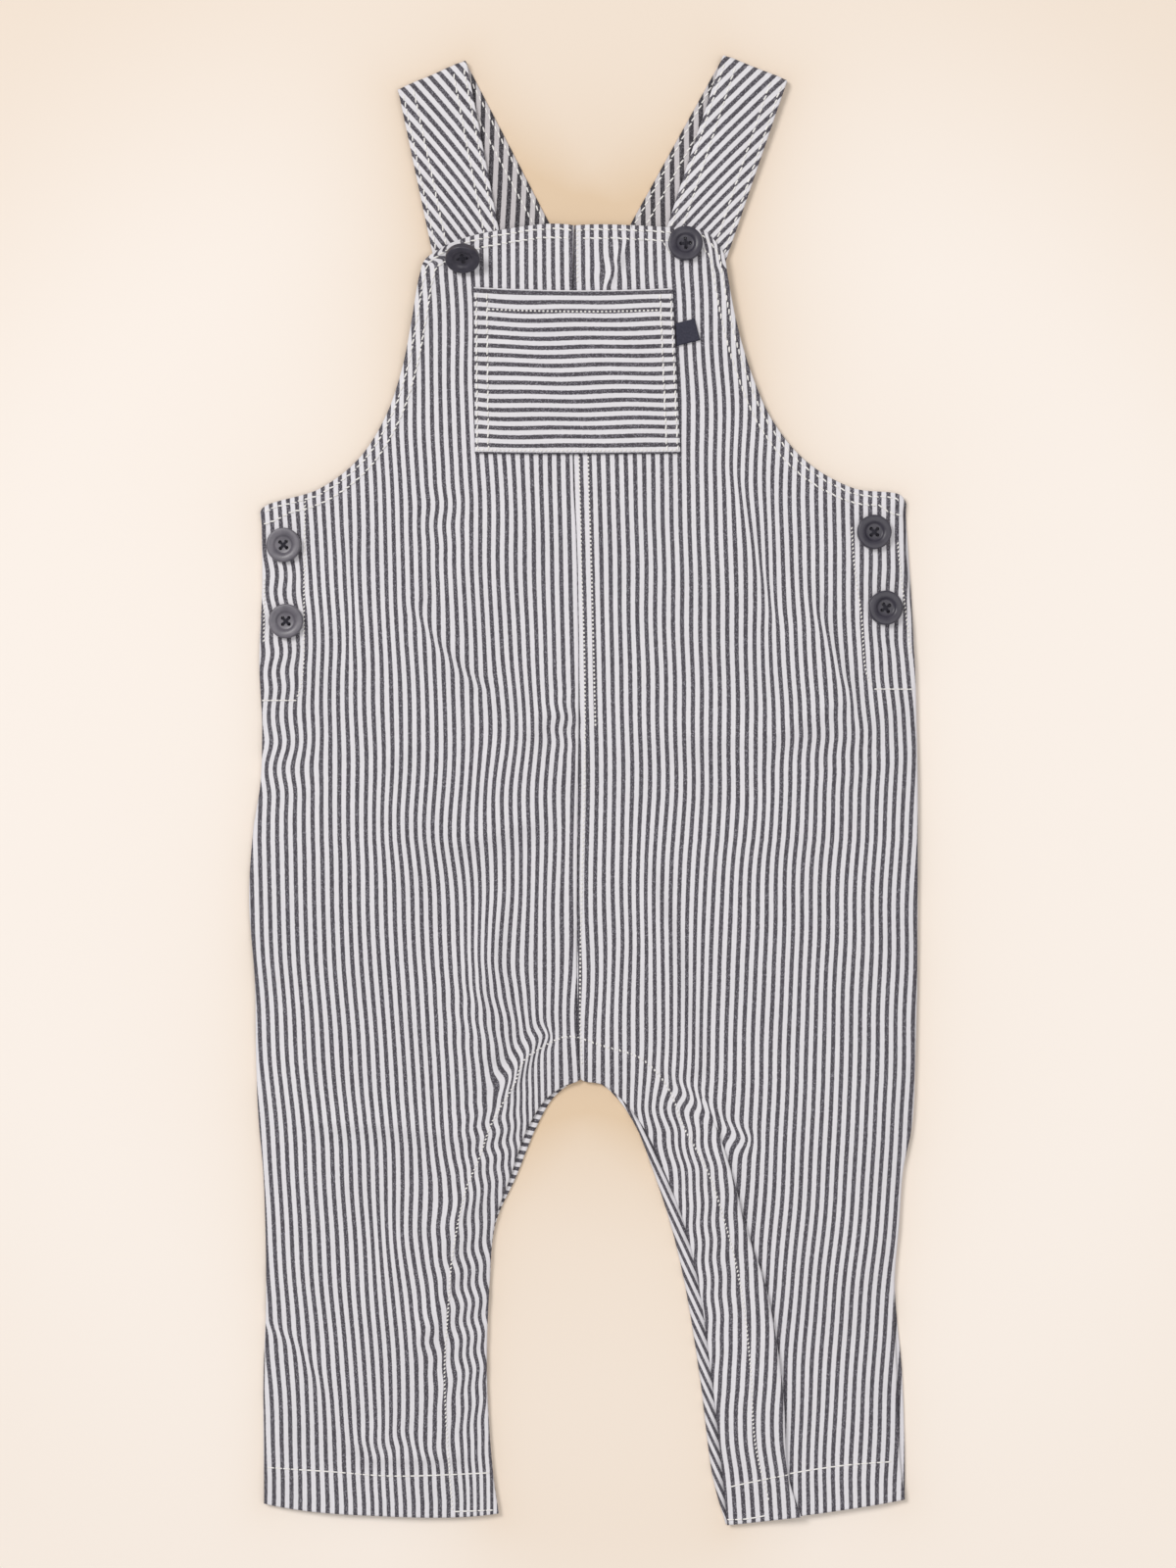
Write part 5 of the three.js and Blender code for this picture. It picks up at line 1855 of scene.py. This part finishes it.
@dataclass
class Stitching:
    """The top-stitching of the front, as rows in plan that follow the cloth."""

    cloth: FrontCloth
    surface: Surface
    finish: SimpleFinish
    edge_rows: tuple[float, ...] = (2.2, 5.8)  # distances from the edge
    corner_at: float = 121.0  # how far out the inner row leaves the edge's line for ROW_ENDS
    lift: float = 0.1

    FACING_ARCH = (
        (-53.4, -293.6), (-54.6, -277.6), (-56.6, -237.6), (-55.0, -209.6), (-53.4, -189.6), (-47.8, -162.4),
        (-43.0, -151.2), (-37.0, -134.8), (-28.2, -119.6), (-24.2, -110.0), (-19.0, -106.0), (-6.6, -100.4),
        (7.4, -104.0), (23.8, -109.6), (34.6, -121.6), (40.6, -136.8), (50.2, -154.4), (57.4, -175.6),
        (63.8, -201.6), (67.8, -233.6), (69.8, -265.6), (75.4, -289.6),
    )
    LEFT_HEM = HEM_LINE[:4]
    RIGHT_HEM = (*HEM_LINE[5:8], (128.6, -273.4))
    LEFT_FACING_END = ((-53.0, -293.8), (-35.6, -293.2))
    RIGHT_FACING_END = ((58.4, -297.2), (66.0, -296.8), (76.6, -294.8))
    LEFT_PLACKET = (
        (-113.4, 118.0), (-113.6, 92.0), (-113.8, 68.0), (-114.0, 50.0), (-115.2, 41.5), (-117.0, 36.4),
    )
    # Where the inner row begins on each side
    ROW_ENDS = {-1: [(-131.2, 107.8), (-126.2, 109.5)], 1: [(131.2, 111.7), (125.6, 112.5)]}
    LEFT_PLACKET_EDGE = ((-130.0, 86.4), (-130.2, 58.4))
    LEFT_BAR = ((-131.0, 36.4), (-115.8, 36.4))
    RIGHT_PLACKET = ((109.0, 107.2), (110.2, 90.4), (113.0, 70.8), (115.0, 47.6), (118.2, 41.0))
    RIGHT_PLACKET_EDGE = ((127.8, 101.2), (129.0, 89.2), (132.2, 64.0), (133.4, 54.0))
    RIGHT_BAR = ((118.2, 41.0), (134.4, 41.0))
    STRAP_BAR = ((32.6, 222.6), (35.4, 217.6))  # beside the right strap's button
    SEAM_ROWS = (
        ((-1.9, 136), (-1.6, 122), (-1.1, 106), (-0.9, 91), (0.3, 58), (0.6, 26), (0.1, -10), (-0.8, -44),
         (-1.3, -70), (-1.3, -98), (-0.6, -112)),
        ((1.9, 136), (2.1, 122), (2.7, 106), (3.2, 91), (4.0, 58), (4.8, 25)),
        ((-2.6, 228), (-2.5, 204.5)),
    )

    def on_cloth(self, path: Sequence[Point], step: float = 0.8) -> Line:
        """Points and normals of a plan path laid on the front.

        Args:
            path: Plan points.
            step: Distance between the points that are laid.

        Returns:
            The points and the normals.
        """
        knots = np.array(path, float)
        length = run_lengths(knots)
        curve = StationCurve(path)
        places = np.linspace(0.0, length[-1], max(3, int(length[-1] / step)))
        plan = curve.at(np.interp(places, length, np.arange(len(knots), dtype=float)))
        return self.surface.lay(plan, self.lift)

    def _inset(self, half: HalfPlan, inset: float) -> list[Point]:
        """Follow a half's armhole and bib top, from the underarm to the seam.

        Args:
            half: The half.
            inset: Distance from its edge, below zero for inwards.

        Returns:
            The path in plan.
        """
        outer = half.point(np.linspace(half.station_of("underarm") - 0.1, half.last, 90), 1.0)
        top = half.point(float(half.last), np.linspace(1.0, 0.0, 30)[1:])
        edge = np.concatenate([outer, top])
        tangent = np.gradient(edge, axis=0)
        tangent /= np.linalg.norm(tangent, axis=1)[:, None]
        inward = np.stack([-tangent[:, 1], tangent[:, 0]], axis=1) * -half.side
        moved = edge + inward * inset
        clear = near_path(moved[:, 0], moved[:, 1], edge).distance > inset - 0.12
        return [tuple(point) for point in moved[clear]]

    def build(self) -> list[bpy.types.Object]:
        """Sew every row of the front.

        Returns:
            The pieces of stitching.
        """
        edges = []
        for half in (self.cloth.left, self.cloth.right):
            outer_row, inner_row = (self._inset(half, -inset) for inset in self.edge_rows)
            inside = [point for point in inner_row if abs(point[0]) < self.corner_at]
            edges += [self.on_cloth(outer_row), self.on_cloth(self.ROW_ENDS[half.side] + inside)]
        seam = [self.on_cloth(path) for path in self.SEAM_ROWS]
        long_rows = (self.LEFT_HEM, self.RIGHT_HEM, self.LEFT_FACING_END, self.RIGHT_FACING_END)
        short_rows = (self.LEFT_PLACKET, self.LEFT_PLACKET_EDGE, self.RIGHT_PLACKET, self.RIGHT_PLACKET_EDGE)
        bars = [self.on_cloth(path) for path in (self.LEFT_BAR, self.RIGHT_BAR, self.STRAP_BAR)]
        return [
            LONG_STITCH.sew("stitches_armholes_and_bib", edges, self.finish),
            HEM_STITCH.sew("stitches_hems", [self.on_cloth(path) for path in long_rows], self.finish),
            ROPE_STITCH.sew("stitches_facing", [self.on_cloth(self.FACING_ARCH)], self.finish),
            SHORT_STITCH.sew("stitches_seam", seam, self.finish),
            ROPE_STITCH.sew("stitches_plackets", [self.on_cloth(path) for path in short_rows], self.finish),
            BAR_STITCH.sew("stitches_placket_ends", bars, self.finish),
        ]


@dataclass
class ChestPocket:
    """The pocket on the bib, with its stripes running across."""

    patch: Patch
    finish: StripedCotton
    thread: SimpleFinish
    cut: Cut
    side_rows: tuple[float, ...] = (1.0, 5.3)
    hem_row: float = 8.8
    bottom_row: float = 1.4
    row_points: int = 110
    lift: float = 0.1
    surface: Surface = field(init=False)

    def _line(self, ends: tuple[Point, Point]) -> Line:
        """Lay a stitch row between two places of the patch.

        Args:
            ends: The places, as shares across and up.

        Returns:
            Points and normals of the row.
        """
        places = np.linspace(ends[0], ends[1], self.row_points)
        x, y = self.patch.point(places[:, 0], places[:, 1])
        return self.surface.lay(np.stack([x, y], axis=1), self.lift)

    def build(self) -> list[bpy.types.Object]:
        """Make the pocket and sew its rows.

        Returns:
            The pocket and its pieces of stitching.
        """
        pocket = dress_cloth(self.patch.grid(), self.patch.node, self.finish)
        self.surface = Surface([pocket])
        width = self.patch.top[1][0] - self.patch.top[0][0]
        height = self.patch.top[0][1] - self.patch.bottom[0][1]
        sides = [
            self._line(((share, 0.01), (share, 0.99)))
            for inset in self.side_rows
            for share in (inset / width, 1.0 - inset / width)
        ]
        hem_at = 1.0 - self.hem_row / height
        reach = self.side_rows[-1] / width
        hem = [self._line(((reach, hem_at), (1.0 - reach, hem_at)))]
        bottom = [self._line(((0.01, self.bottom_row / height), (0.99, self.bottom_row / height)))]
        return [
            pocket,
            LONG_STITCH.sew("stitches_pocket_sides", sides, self.thread),
            SHORT_STITCH.sew("stitches_pocket_hem", [*hem, *bottom], self.thread),
        ]


@dataclass
class Button:
    """A four-hole button with a flat rim round a sunken middle, resting on the cloth.

    Attributes:
        node: Solid of the frame that it stands for.
        tilt: Degrees that its upper edge is raised from the cloth.
        turn: Degrees that its holes are turned.
    """

    node: str
    at: Point
    tilt: float
    turn: float
    cloth: FrontCloth
    radius: float = 7.0
    rim: float = 3.0
    dish: float = 1.9
    dish_radius: float = 3.9
    foot_round: float = 0.9
    lip_round: float = 0.7
    hole_radius: float = 0.75
    hole_pitch: float = 3.6
    hole_sides: int = 20
    sides: int = 72
    strand_radius: float = 0.26
    strand_offset: float = 0.28  # of the two strands of a pair from their middle
    strand_lift: float = 0.16  # of the lower pair over the dish
    strand_step: float = 0.2  # from the lower pair to the upper
    strand_sides: int = 8

    def _smooth_top(self, x: float, y: float) -> float:
        """Height of the front's smooth outer face at a place."""
        return float(self.cloth.underside(np.array([x]), np.array([y]))[0]) + CLOTH

    def _profile(self) -> list[Point]:
        """Draw half the section.

        Returns:
            Distances from the axis and heights, from the foot round to the dish.
        """
        radius, rim, dish, inner = self.radius, self.rim, self.dish, self.dish_radius
        points = [(0.0, 0.0), (radius - 1.6, 0.0)]
        foot, lip = self.foot_round, self.lip_round
        for a in np.linspace(0.3, math.pi / 2, 6):
            points.append((radius - foot + foot * math.sin(a), foot - foot * math.cos(a)))
        for a in np.linspace(0.0, math.pi / 2, 8):
            points.append((radius - lip + lip * math.cos(a), rim - lip + lip * math.sin(a)))
        points += [(radius - 1.7, rim - 0.02), (inner + 0.9, rim - 0.1)]
        for t in np.linspace(0.0, 1.0, 7):
            points.append((mix(inner + 0.6, inner - 0.8, t), mix(rim - 0.2, dish, smooth(t))))
        points += [(inner * 0.5, dish - 0.05), (0.0, dish - 0.08)]
        return points

    def _lathe(self) -> bpy.types.Object:
        """Turn the button's body.

        Returns:
            The body, before its holes are cut.
        """
        profile = self._profile()
        vertices = [(0.0, 0.0, profile[0][1])]
        for radius, height in profile[1:-1]:
            for k in range(self.sides):
                angle = 2.0 * math.pi * k / self.sides
                vertices.append((radius * math.cos(angle), radius * math.sin(angle), height))
        vertices.append((0.0, 0.0, profile[-1][1]))
        faces: list[tuple[int, ...]] = []
        rings = len(profile) - 2
        for k in range(self.sides):
            after = (k + 1) % self.sides
            faces.append((0, 1 + after, 1 + k))
            for ring in range(rings - 1):
                low = 1 + ring * self.sides
                faces.append((low + k, low + after, low + self.sides + after, low + self.sides + k))
            top = 1 + (rings - 1) * self.sides
            faces.append((top + k, top + after, len(vertices) - 1))
        return add_object(f"{self.node}_body", vertices, faces)

    def _drill(self, body: bpy.types.Object) -> None:
        """Cut the four holes.

        Args:
            body: The button's body.
        """
        vertices: list[tuple[float, float, float]] = []
        faces: list[tuple[int, ...]] = []
        for number in range(4):
            middle = number * math.pi / 2
            base = len(vertices)
            for height in (-1.0, 2.0 * self.rim):
                for k in range(self.hole_sides):
                    angle = 2.0 * math.pi * k / self.hole_sides
                    vertices.append((
                        self.hole_pitch / 2 * math.cos(middle) + self.hole_radius * math.cos(angle),
                        self.hole_pitch / 2 * math.sin(middle) + self.hole_radius * math.sin(angle),
                        height,
                    ))
            faces += end_faces(base, 2, self.hole_sides) + ring_faces(base, 2, self.hole_sides)
        drill = add_object(f"{self.node}_drill", vertices, faces)
        cut = body.modifiers.new("holes", "BOOLEAN")
        cut.operation = "DIFFERENCE"
        cut.solver = "EXACT"
        cut.object = drill
        bpy.context.view_layer.update()
        cut_body = body.evaluated_get(bpy.context.evaluated_depsgraph_get())
        mesh = bpy.data.meshes.new_from_object(cut_body)
        body.modifiers.clear()
        body.data = mesh
        bpy.data.objects.remove(drill)

    def _thread(self) -> bpy.types.Object:
        """Cross the threads through the holes.

        Returns:
            The four strands.
        """
        vertices: list[np.ndarray] = []
        faces: list[tuple[int, ...]] = []
        sides = self.strand_sides
        spokes = np.arange(sides) * 2.0 * math.pi / sides
        for strand in range(4):
            angle = math.pi / 2 * (strand // 2)
            offset = self.strand_offset * (-1.0) ** strand
            lift = self.strand_lift + self.strand_step * (strand // 2)
            along = np.array([math.cos(angle), math.sin(angle), 0.0])
            aside = np.array([-math.sin(angle), math.cos(angle), 0.0])
            rise = ((-1.0, -1.4), (-0.96, -0.3), (-0.62, lift), (0.0, lift + 0.12))
            reach = self.hole_pitch / 2
            path = [
                along * (share * reach) + aside * offset + np.array([0.0, 0.0, self.dish + height])
                for share, height in (*rise, *((-share, height) for share, height in rise[2::-1]))
            ]
            base = len(vertices) * sides
            for k, middle in enumerate(path):
                ahead = path[min(k + 1, len(path) - 1)] - path[max(k - 1, 0)]
                up = np.cross(aside, ahead / np.linalg.norm(ahead))
                ring = np.outer(np.cos(spokes), aside) + np.outer(np.sin(spokes), up)
                vertices.append(middle + self.strand_radius * ring)
            tube = (base, len(path), sides)
            faces += ring_faces(*tube) + end_faces(*tube)
        return add_object(f"{self.node}_thread", np.concatenate(vertices), faces)

    def _seat(self) -> Matrix:
        """Rest the button on the cloth.

        Returns:
            Its place and lean, in metres.
        """
        x, y = self.at
        reach = self.radius * 0.8
        slope_x = (self._smooth_top(x + reach, y) - self._smooth_top(x - reach, y)) / (2.0 * reach)
        slope_y = (self._smooth_top(x, y + reach) - self._smooth_top(x, y - reach)) / (2.0 * reach)
        normal = Vector((-slope_x, -slope_y, 1.0)).normalized()
        turn = Vector((0.0, 0.0, 1.0)).rotation_difference(normal)
        turn = turn @ Quaternion((1.0, 0.0, 0.0), math.radians(self.tilt))
        turn = turn @ Quaternion((0.0, 0.0, 1.0), math.radians(self.turn))
        lift = self._smooth_top(x, y)
        for k in range(24):
            angle = math.pi * k / 12
            foot = turn @ Vector((self.radius * math.cos(angle), self.radius * math.sin(angle), 0.0))
            lift = max(lift, self._smooth_top(x + foot.x, y + foot.y) - foot.z)
        return Matrix.Translation(Vector((x, y, lift + SEAM_GAP)) * MM) @ turn.to_matrix().to_4x4()

    def build(self, resin: SimpleFinish, thread: SimpleFinish) -> bpy.types.Object:
        """Make the button, drill it, thread it and seat it.

        Args:
            resin: Finish of its body.
            thread: Finish of the thread in its holes.

        Returns:
            The button.
        """
        body = self._lathe()
        self._drill(body)
        body_faces = len(body.data.polygons)
        strands = self._thread()
        vertices = [tuple(v.co) for v in body.data.vertices] + [tuple(v.co) for v in strands.data.vertices]
        shift = len(body.data.vertices)
        faces = [tuple(p.vertices) for p in body.data.polygons]
        faces += [tuple(index + shift for index in p.vertices) for p in strands.data.polygons]
        mesh = bpy.data.meshes.new(self.node)
        mesh.from_pydata(vertices, [], faces)
        mesh.transform(self._seat())
        mesh.update()
        bpy.data.objects.remove(body)
        bpy.data.objects.remove(strands)
        piece = link_object(f"{self.node}_resin", mesh)
        mesh.shade_smooth()
        mesh.set_sharp_from_angle(angle=math.radians(42.0))
        dress(piece, resin.material(), Slot.BUTTON, self.node)
        mesh.materials.append(thread.material())
        for polygon in mesh.polygons[body_faces:]:
            polygon.material_index = 1
        return piece


@dataclass
class Studio:
    """The floor with its painted shade, the soft lights and the camera over the garment.

    Attributes:
        view_centre: Place under the camera.
        view_height: Length of floor that the picture's long side shows.
        lens: Focal length in millimetres.
    """

    view_centre: Point = (1.8, 2.4)
    view_height: float = 640.0
    lens: float = 85.0
    sensor: float = 36.0
    floor_size: float = 3000.0
    fine_floor: float = 336.0  # how far out the floor's mesh is fine enough for the shade
    fine_pitch: float = 4.0
    floor_drop: float = 0.1
    shade_between: Point = (1.5, 60.0)  # strength and reach of the shade between the two sides
    shade_beside: Point = (0.14, 8.0)  # the same beside each edge

    def floor(self, finish: PaperFloor, left: np.ndarray, right: np.ndarray) -> bpy.types.Object:
        """Lay the floor with painted shade beside the garment, between its two sides and towards the corners.

        Args:
            finish: The floor's finish.
            left: Pairs of plan points along the edges of the garment's left side.
            right: The same for its right side.

        Returns:
            The floor.
        """
        reach = self.floor_size / 2
        fine = np.arange(-self.fine_floor, self.fine_floor + 1.0, self.fine_pitch)
        lines = np.concatenate([[-reach], fine, [reach]])
        y, x = np.meshgrid(lines, lines, indexing="ij")
        from_left, from_right = (near_path(x, y, edges).distance for edges in (left, right))
        between = self.shade_between[0] * np.exp(-(from_left + from_right) / self.shade_between[1])
        beside = self.shade_beside[0] * np.exp(-np.minimum(from_left, from_right) / self.shade_beside[1])
        # Painted shade: darker beside the cloth and between its two sides, and darker towards the corners,
        # more at the top.
        shade = between + beside + (0.25 + 0.0004 * y) * smooth((np.hypot(x, y) - 240.0) / 170.0)
        at = np.arange(x.size).reshape(x.shape)
        quads = np.stack([at[:-1, :-1], at[:-1, 1:], at[1:, 1:], at[1:, :-1]], axis=-1).reshape(-1, 4)
        points = np.stack([x.ravel(), y.ravel(), np.zeros(x.size)], axis=1)
        floor = add_object("studio_floor", points, quads.tolist())
        shades = floor.data.attributes.new(FLOOR_SHADE, "FLOAT", "POINT")
        shades.data.foreach_set("value", shade.ravel().astype(np.float32))
        floor.location.z = -self.floor_drop * MM
        floor.data.materials.append(finish.material())
        return floor

    def camera(self) -> None:
        """Hang the camera straight above."""
        data = bpy.data.cameras.new("camera")
        data.lens = self.lens
        data.sensor_fit = "AUTO"
        data.sensor_width = self.sensor
        camera = link_object("camera", data)
        height = self.view_height * self.lens / self.sensor
        camera.location = Vector((*self.view_centre, height)) * MM
        bpy.context.scene.camera = camera

    def lights(self) -> None:
        """Hang a soft key light at the upper left and a broad fill above, in a pale room."""
        scene = bpy.context.scene
        world = bpy.data.worlds.new("studio")
        world.use_nodes = True
        background = world.node_tree.nodes["Background"]
        background.inputs["Color"].default_value = (1.0, 0.985, 0.965, 1.0)
        background.inputs["Strength"].default_value = 0.44
        scene.world = world
        for name, place, size, power in (
            ("key_light", (-1.6, 1.3, 2.7), 1.3, 60.0),
            ("fill_light", (0.45, -0.15, 1.75), 1.5, 9.5),
        ):
            data = bpy.data.lights.new(name, "AREA")
            data.shape = "DISK"
            data.size = size
            data.energy = power
            data.color = (1.0, 0.985, 0.96)
            light = link_object(name, data)
            light.location = place
            light.rotation_euler = (-Vector(place)).to_track_quat("-Z", "Y").to_euler()
        scene.view_settings.view_transform = "Standard"


def report(piece: bpy.types.Object) -> None:
    """Log a piece that has been made."""
    logging.getLogger("dungarees").info("%s: %d faces", piece.name, len(piece.data.polygons))


def main() -> None:
    """Build the dungarees piece by piece round the frame."""
    logging.basicConfig(level=logging.INFO, format="%(message)s")
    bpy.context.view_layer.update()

    front_left = HalfPlan(-1, LEFT_LEG + FRONT_LEFT_ARMHOLE, FRONT_SEAM)
    front_right = HalfPlan(1, RIGHT_LEG + FRONT_RIGHT_ARMHOLE, FRONT_SEAM)
    back_left = HalfPlan(-1, LEFT_LEG + BACK_LEFT_ARMHOLE, BACK_SEAM, is_back=True)
    back_right = HalfPlan(1, RIGHT_LEG + BACK_RIGHT_ARMHOLE, BACK_SEAM, is_back=True)
    cloth = FrontCloth(front_left, front_right)

    front_finish = StripedCotton("ticking_front", start=-1.3)
    back_finish = StripedCotton("ticking_back", start=-1.3)
    strap_finish = StripedCotton("ticking_strap")
    # A darker copy of the strap's cotton: painted shade for the strap's run behind the fold.
    painted_shade_strap_finish = StripedCotton("ticking_strap_painted_shade", dark_share=0.49, light=(0.54, 0.51, 0.528, 1.0),
                                      dark=(0.041, 0.037, 0.044, 1.0), fleck=(0.18, 0.17, 0.19, 1.0))
    pocket_finish = StripedCotton("ticking_pocket", start=-0.4, pitch=3.68)
    cream_thread = SimpleFinish("cream_thread", (0.88, 0.86, 0.84, 1.0), (0.78, 0.76, 0.75, 1.0),
        grain=900.0, roughness=0.7, bump=0.00005)
    navy_thread = SimpleFinish("navy_thread", (0.012, 0.011, 0.020, 1.0), (0.02, 0.018, 0.03, 1.0),
        grain=900.0, roughness=0.8, bump=0.00005)
    resin = SimpleFinish("navy_resin", (0.030, 0.027, 0.042, 1.0), (0.044, 0.040, 0.057, 1.0),
        grain=260.0, roughness=0.38, bump=0.00008)
    worn_resin = SimpleFinish("worn_resin", (0.105, 0.098, 0.120, 1.0), (0.14, 0.13, 0.155, 1.0),
        grain=260.0, roughness=0.36, bump=0.00008)
    woven = SimpleFinish("navy_weave", (0.022, 0.022, 0.040, 1.0), (0.036, 0.036, 0.058, 1.0),
        grain=1200.0, roughness=0.85, bump=0.0001)
    paper = PaperFloor("cream_floor", (0.900, 0.848, 0.807, 1.0), (0.76, 0.61, 0.45, 1.0))

    straps = [
        Strap("strap_left", ((-31.4, 200.7), (1.8, 200.7)), ((-76.0, 285.4), (-48.2, 297.4)),
              ((-59.0, 206.4), (-29.9, 204.4)), 0.51, strap_finish, painted_shade_strap_finish,
              Cut(0.031, 0.19, 0.0056, ("back_left_cloth", "front_left_cloth"))),
        Strap("strap_right", ((2.5, 200.7), (35.8, 200.7)), ((57.0, 299.6), (83.2, 289.2)),
              ((26.4, 206.0), (54.7, 206.0)), -0.53, strap_finish, painted_shade_strap_finish,
              Cut(0.031, 0.2, 0.0058, ("back_right_cloth", "front_right_cloth"))),
    ]
    studio = Studio()
    studio.camera()
    studio.lights()
    studio.floor(paper, *(
        np.concatenate([cloth.outline(half), strap.outline()])
        for half, strap in zip((front_left, front_right), straps)
    ))

    back_cut = Cut(0.17, 0.54, 0.052)
    panels = [
        BackPanel("back_left", back_left, front_left, back_finish, back_cut,
                  slant=80.0, squeeze=0.95, roll=0.2),
        BackPanel("back_right", back_right, front_right, back_finish, back_cut,
                  slant=25.0, squeeze=0.72, roll=1.5),
        FrontPanel("front_left", cloth, front_left, front_finish,
                   Cut(0.17, 0.56, 0.0545, ("back_left_cloth",))),
        FrontPanel("front_right", cloth, front_right, front_finish,
                   Cut(0.17, 0.56, 0.0565, ("back_right_cloth",)), has_pleat=True),
    ]
    fronts = []
    for panel in panels:
        piece = panel.build()
        fronts += [piece] if isinstance(panel, FrontPanel) else []
        report(piece)

    strap_lines = []
    for strap in straps:
        piece = strap.build()
        strap_lines += strap.stitch_lines()
        report(piece)
    report(LONG_STITCH.sew("stitches_straps", strap_lines, cream_thread))

    for piece in Stitching(cloth, Surface(fronts), cream_thread).build():
        report(piece)

    pocket_patch = Patch("chest_pocket", ((-44.6, 204.3), (36.2, 203.8)), ((-44.2, 136.8), (39.4, 136.8)),
                         cloth, spacing=1.1, wall=CLOTH, hem=9.0, sag=1.1)
    pocket_cut = Cut(0.084, 0.078, 0.0064, ("front_left_cloth", "front_right_cloth"))
    for piece in ChestPocket(pocket_patch, pocket_finish, cream_thread, pocket_cut).build():
        report(piece)

    tag_patch = Patch("side_tag", ((37.4, 189.6), (45.1, 191.6)), ((37.9, 180.4), (47.5, 182.9)),
                      cloth, spacing=0.6, wall=0.9)
    tag = dress(tag_patch.grid().build("side_tag_weave"), woven.material(), Slot.TAG, "side_tag")
    report(tag)

    # Place, tilt and turn, as in the frame, but the left strap button leans 52 degrees for the frame's 38
    for node, at, tilt, turn in (
        ("button_strap_left", (-49.0, 216.4), 52.0, 8.0),
        ("button_strap_right", (41.4, 222.0), 0.0, 4.0),
        ("button_side_left_upper", (-121.8, 99.6), 0.0, 50.0),
        ("button_side_left_lower", (-120.8, 68.6), 0.0, 46.0),
        ("button_side_right_upper", (118.0, 104.8), 0.0, 45.0),
        ("button_side_right_lower", (122.6, 74.0), 0.0, 33.0),
    ):
        finish = worn_resin if "side_left" in node else resin
        piece = Button(node, at, tilt, turn, cloth).build(finish, navy_thread)
        report(piece)


if __name__ == "__main__":
    main()
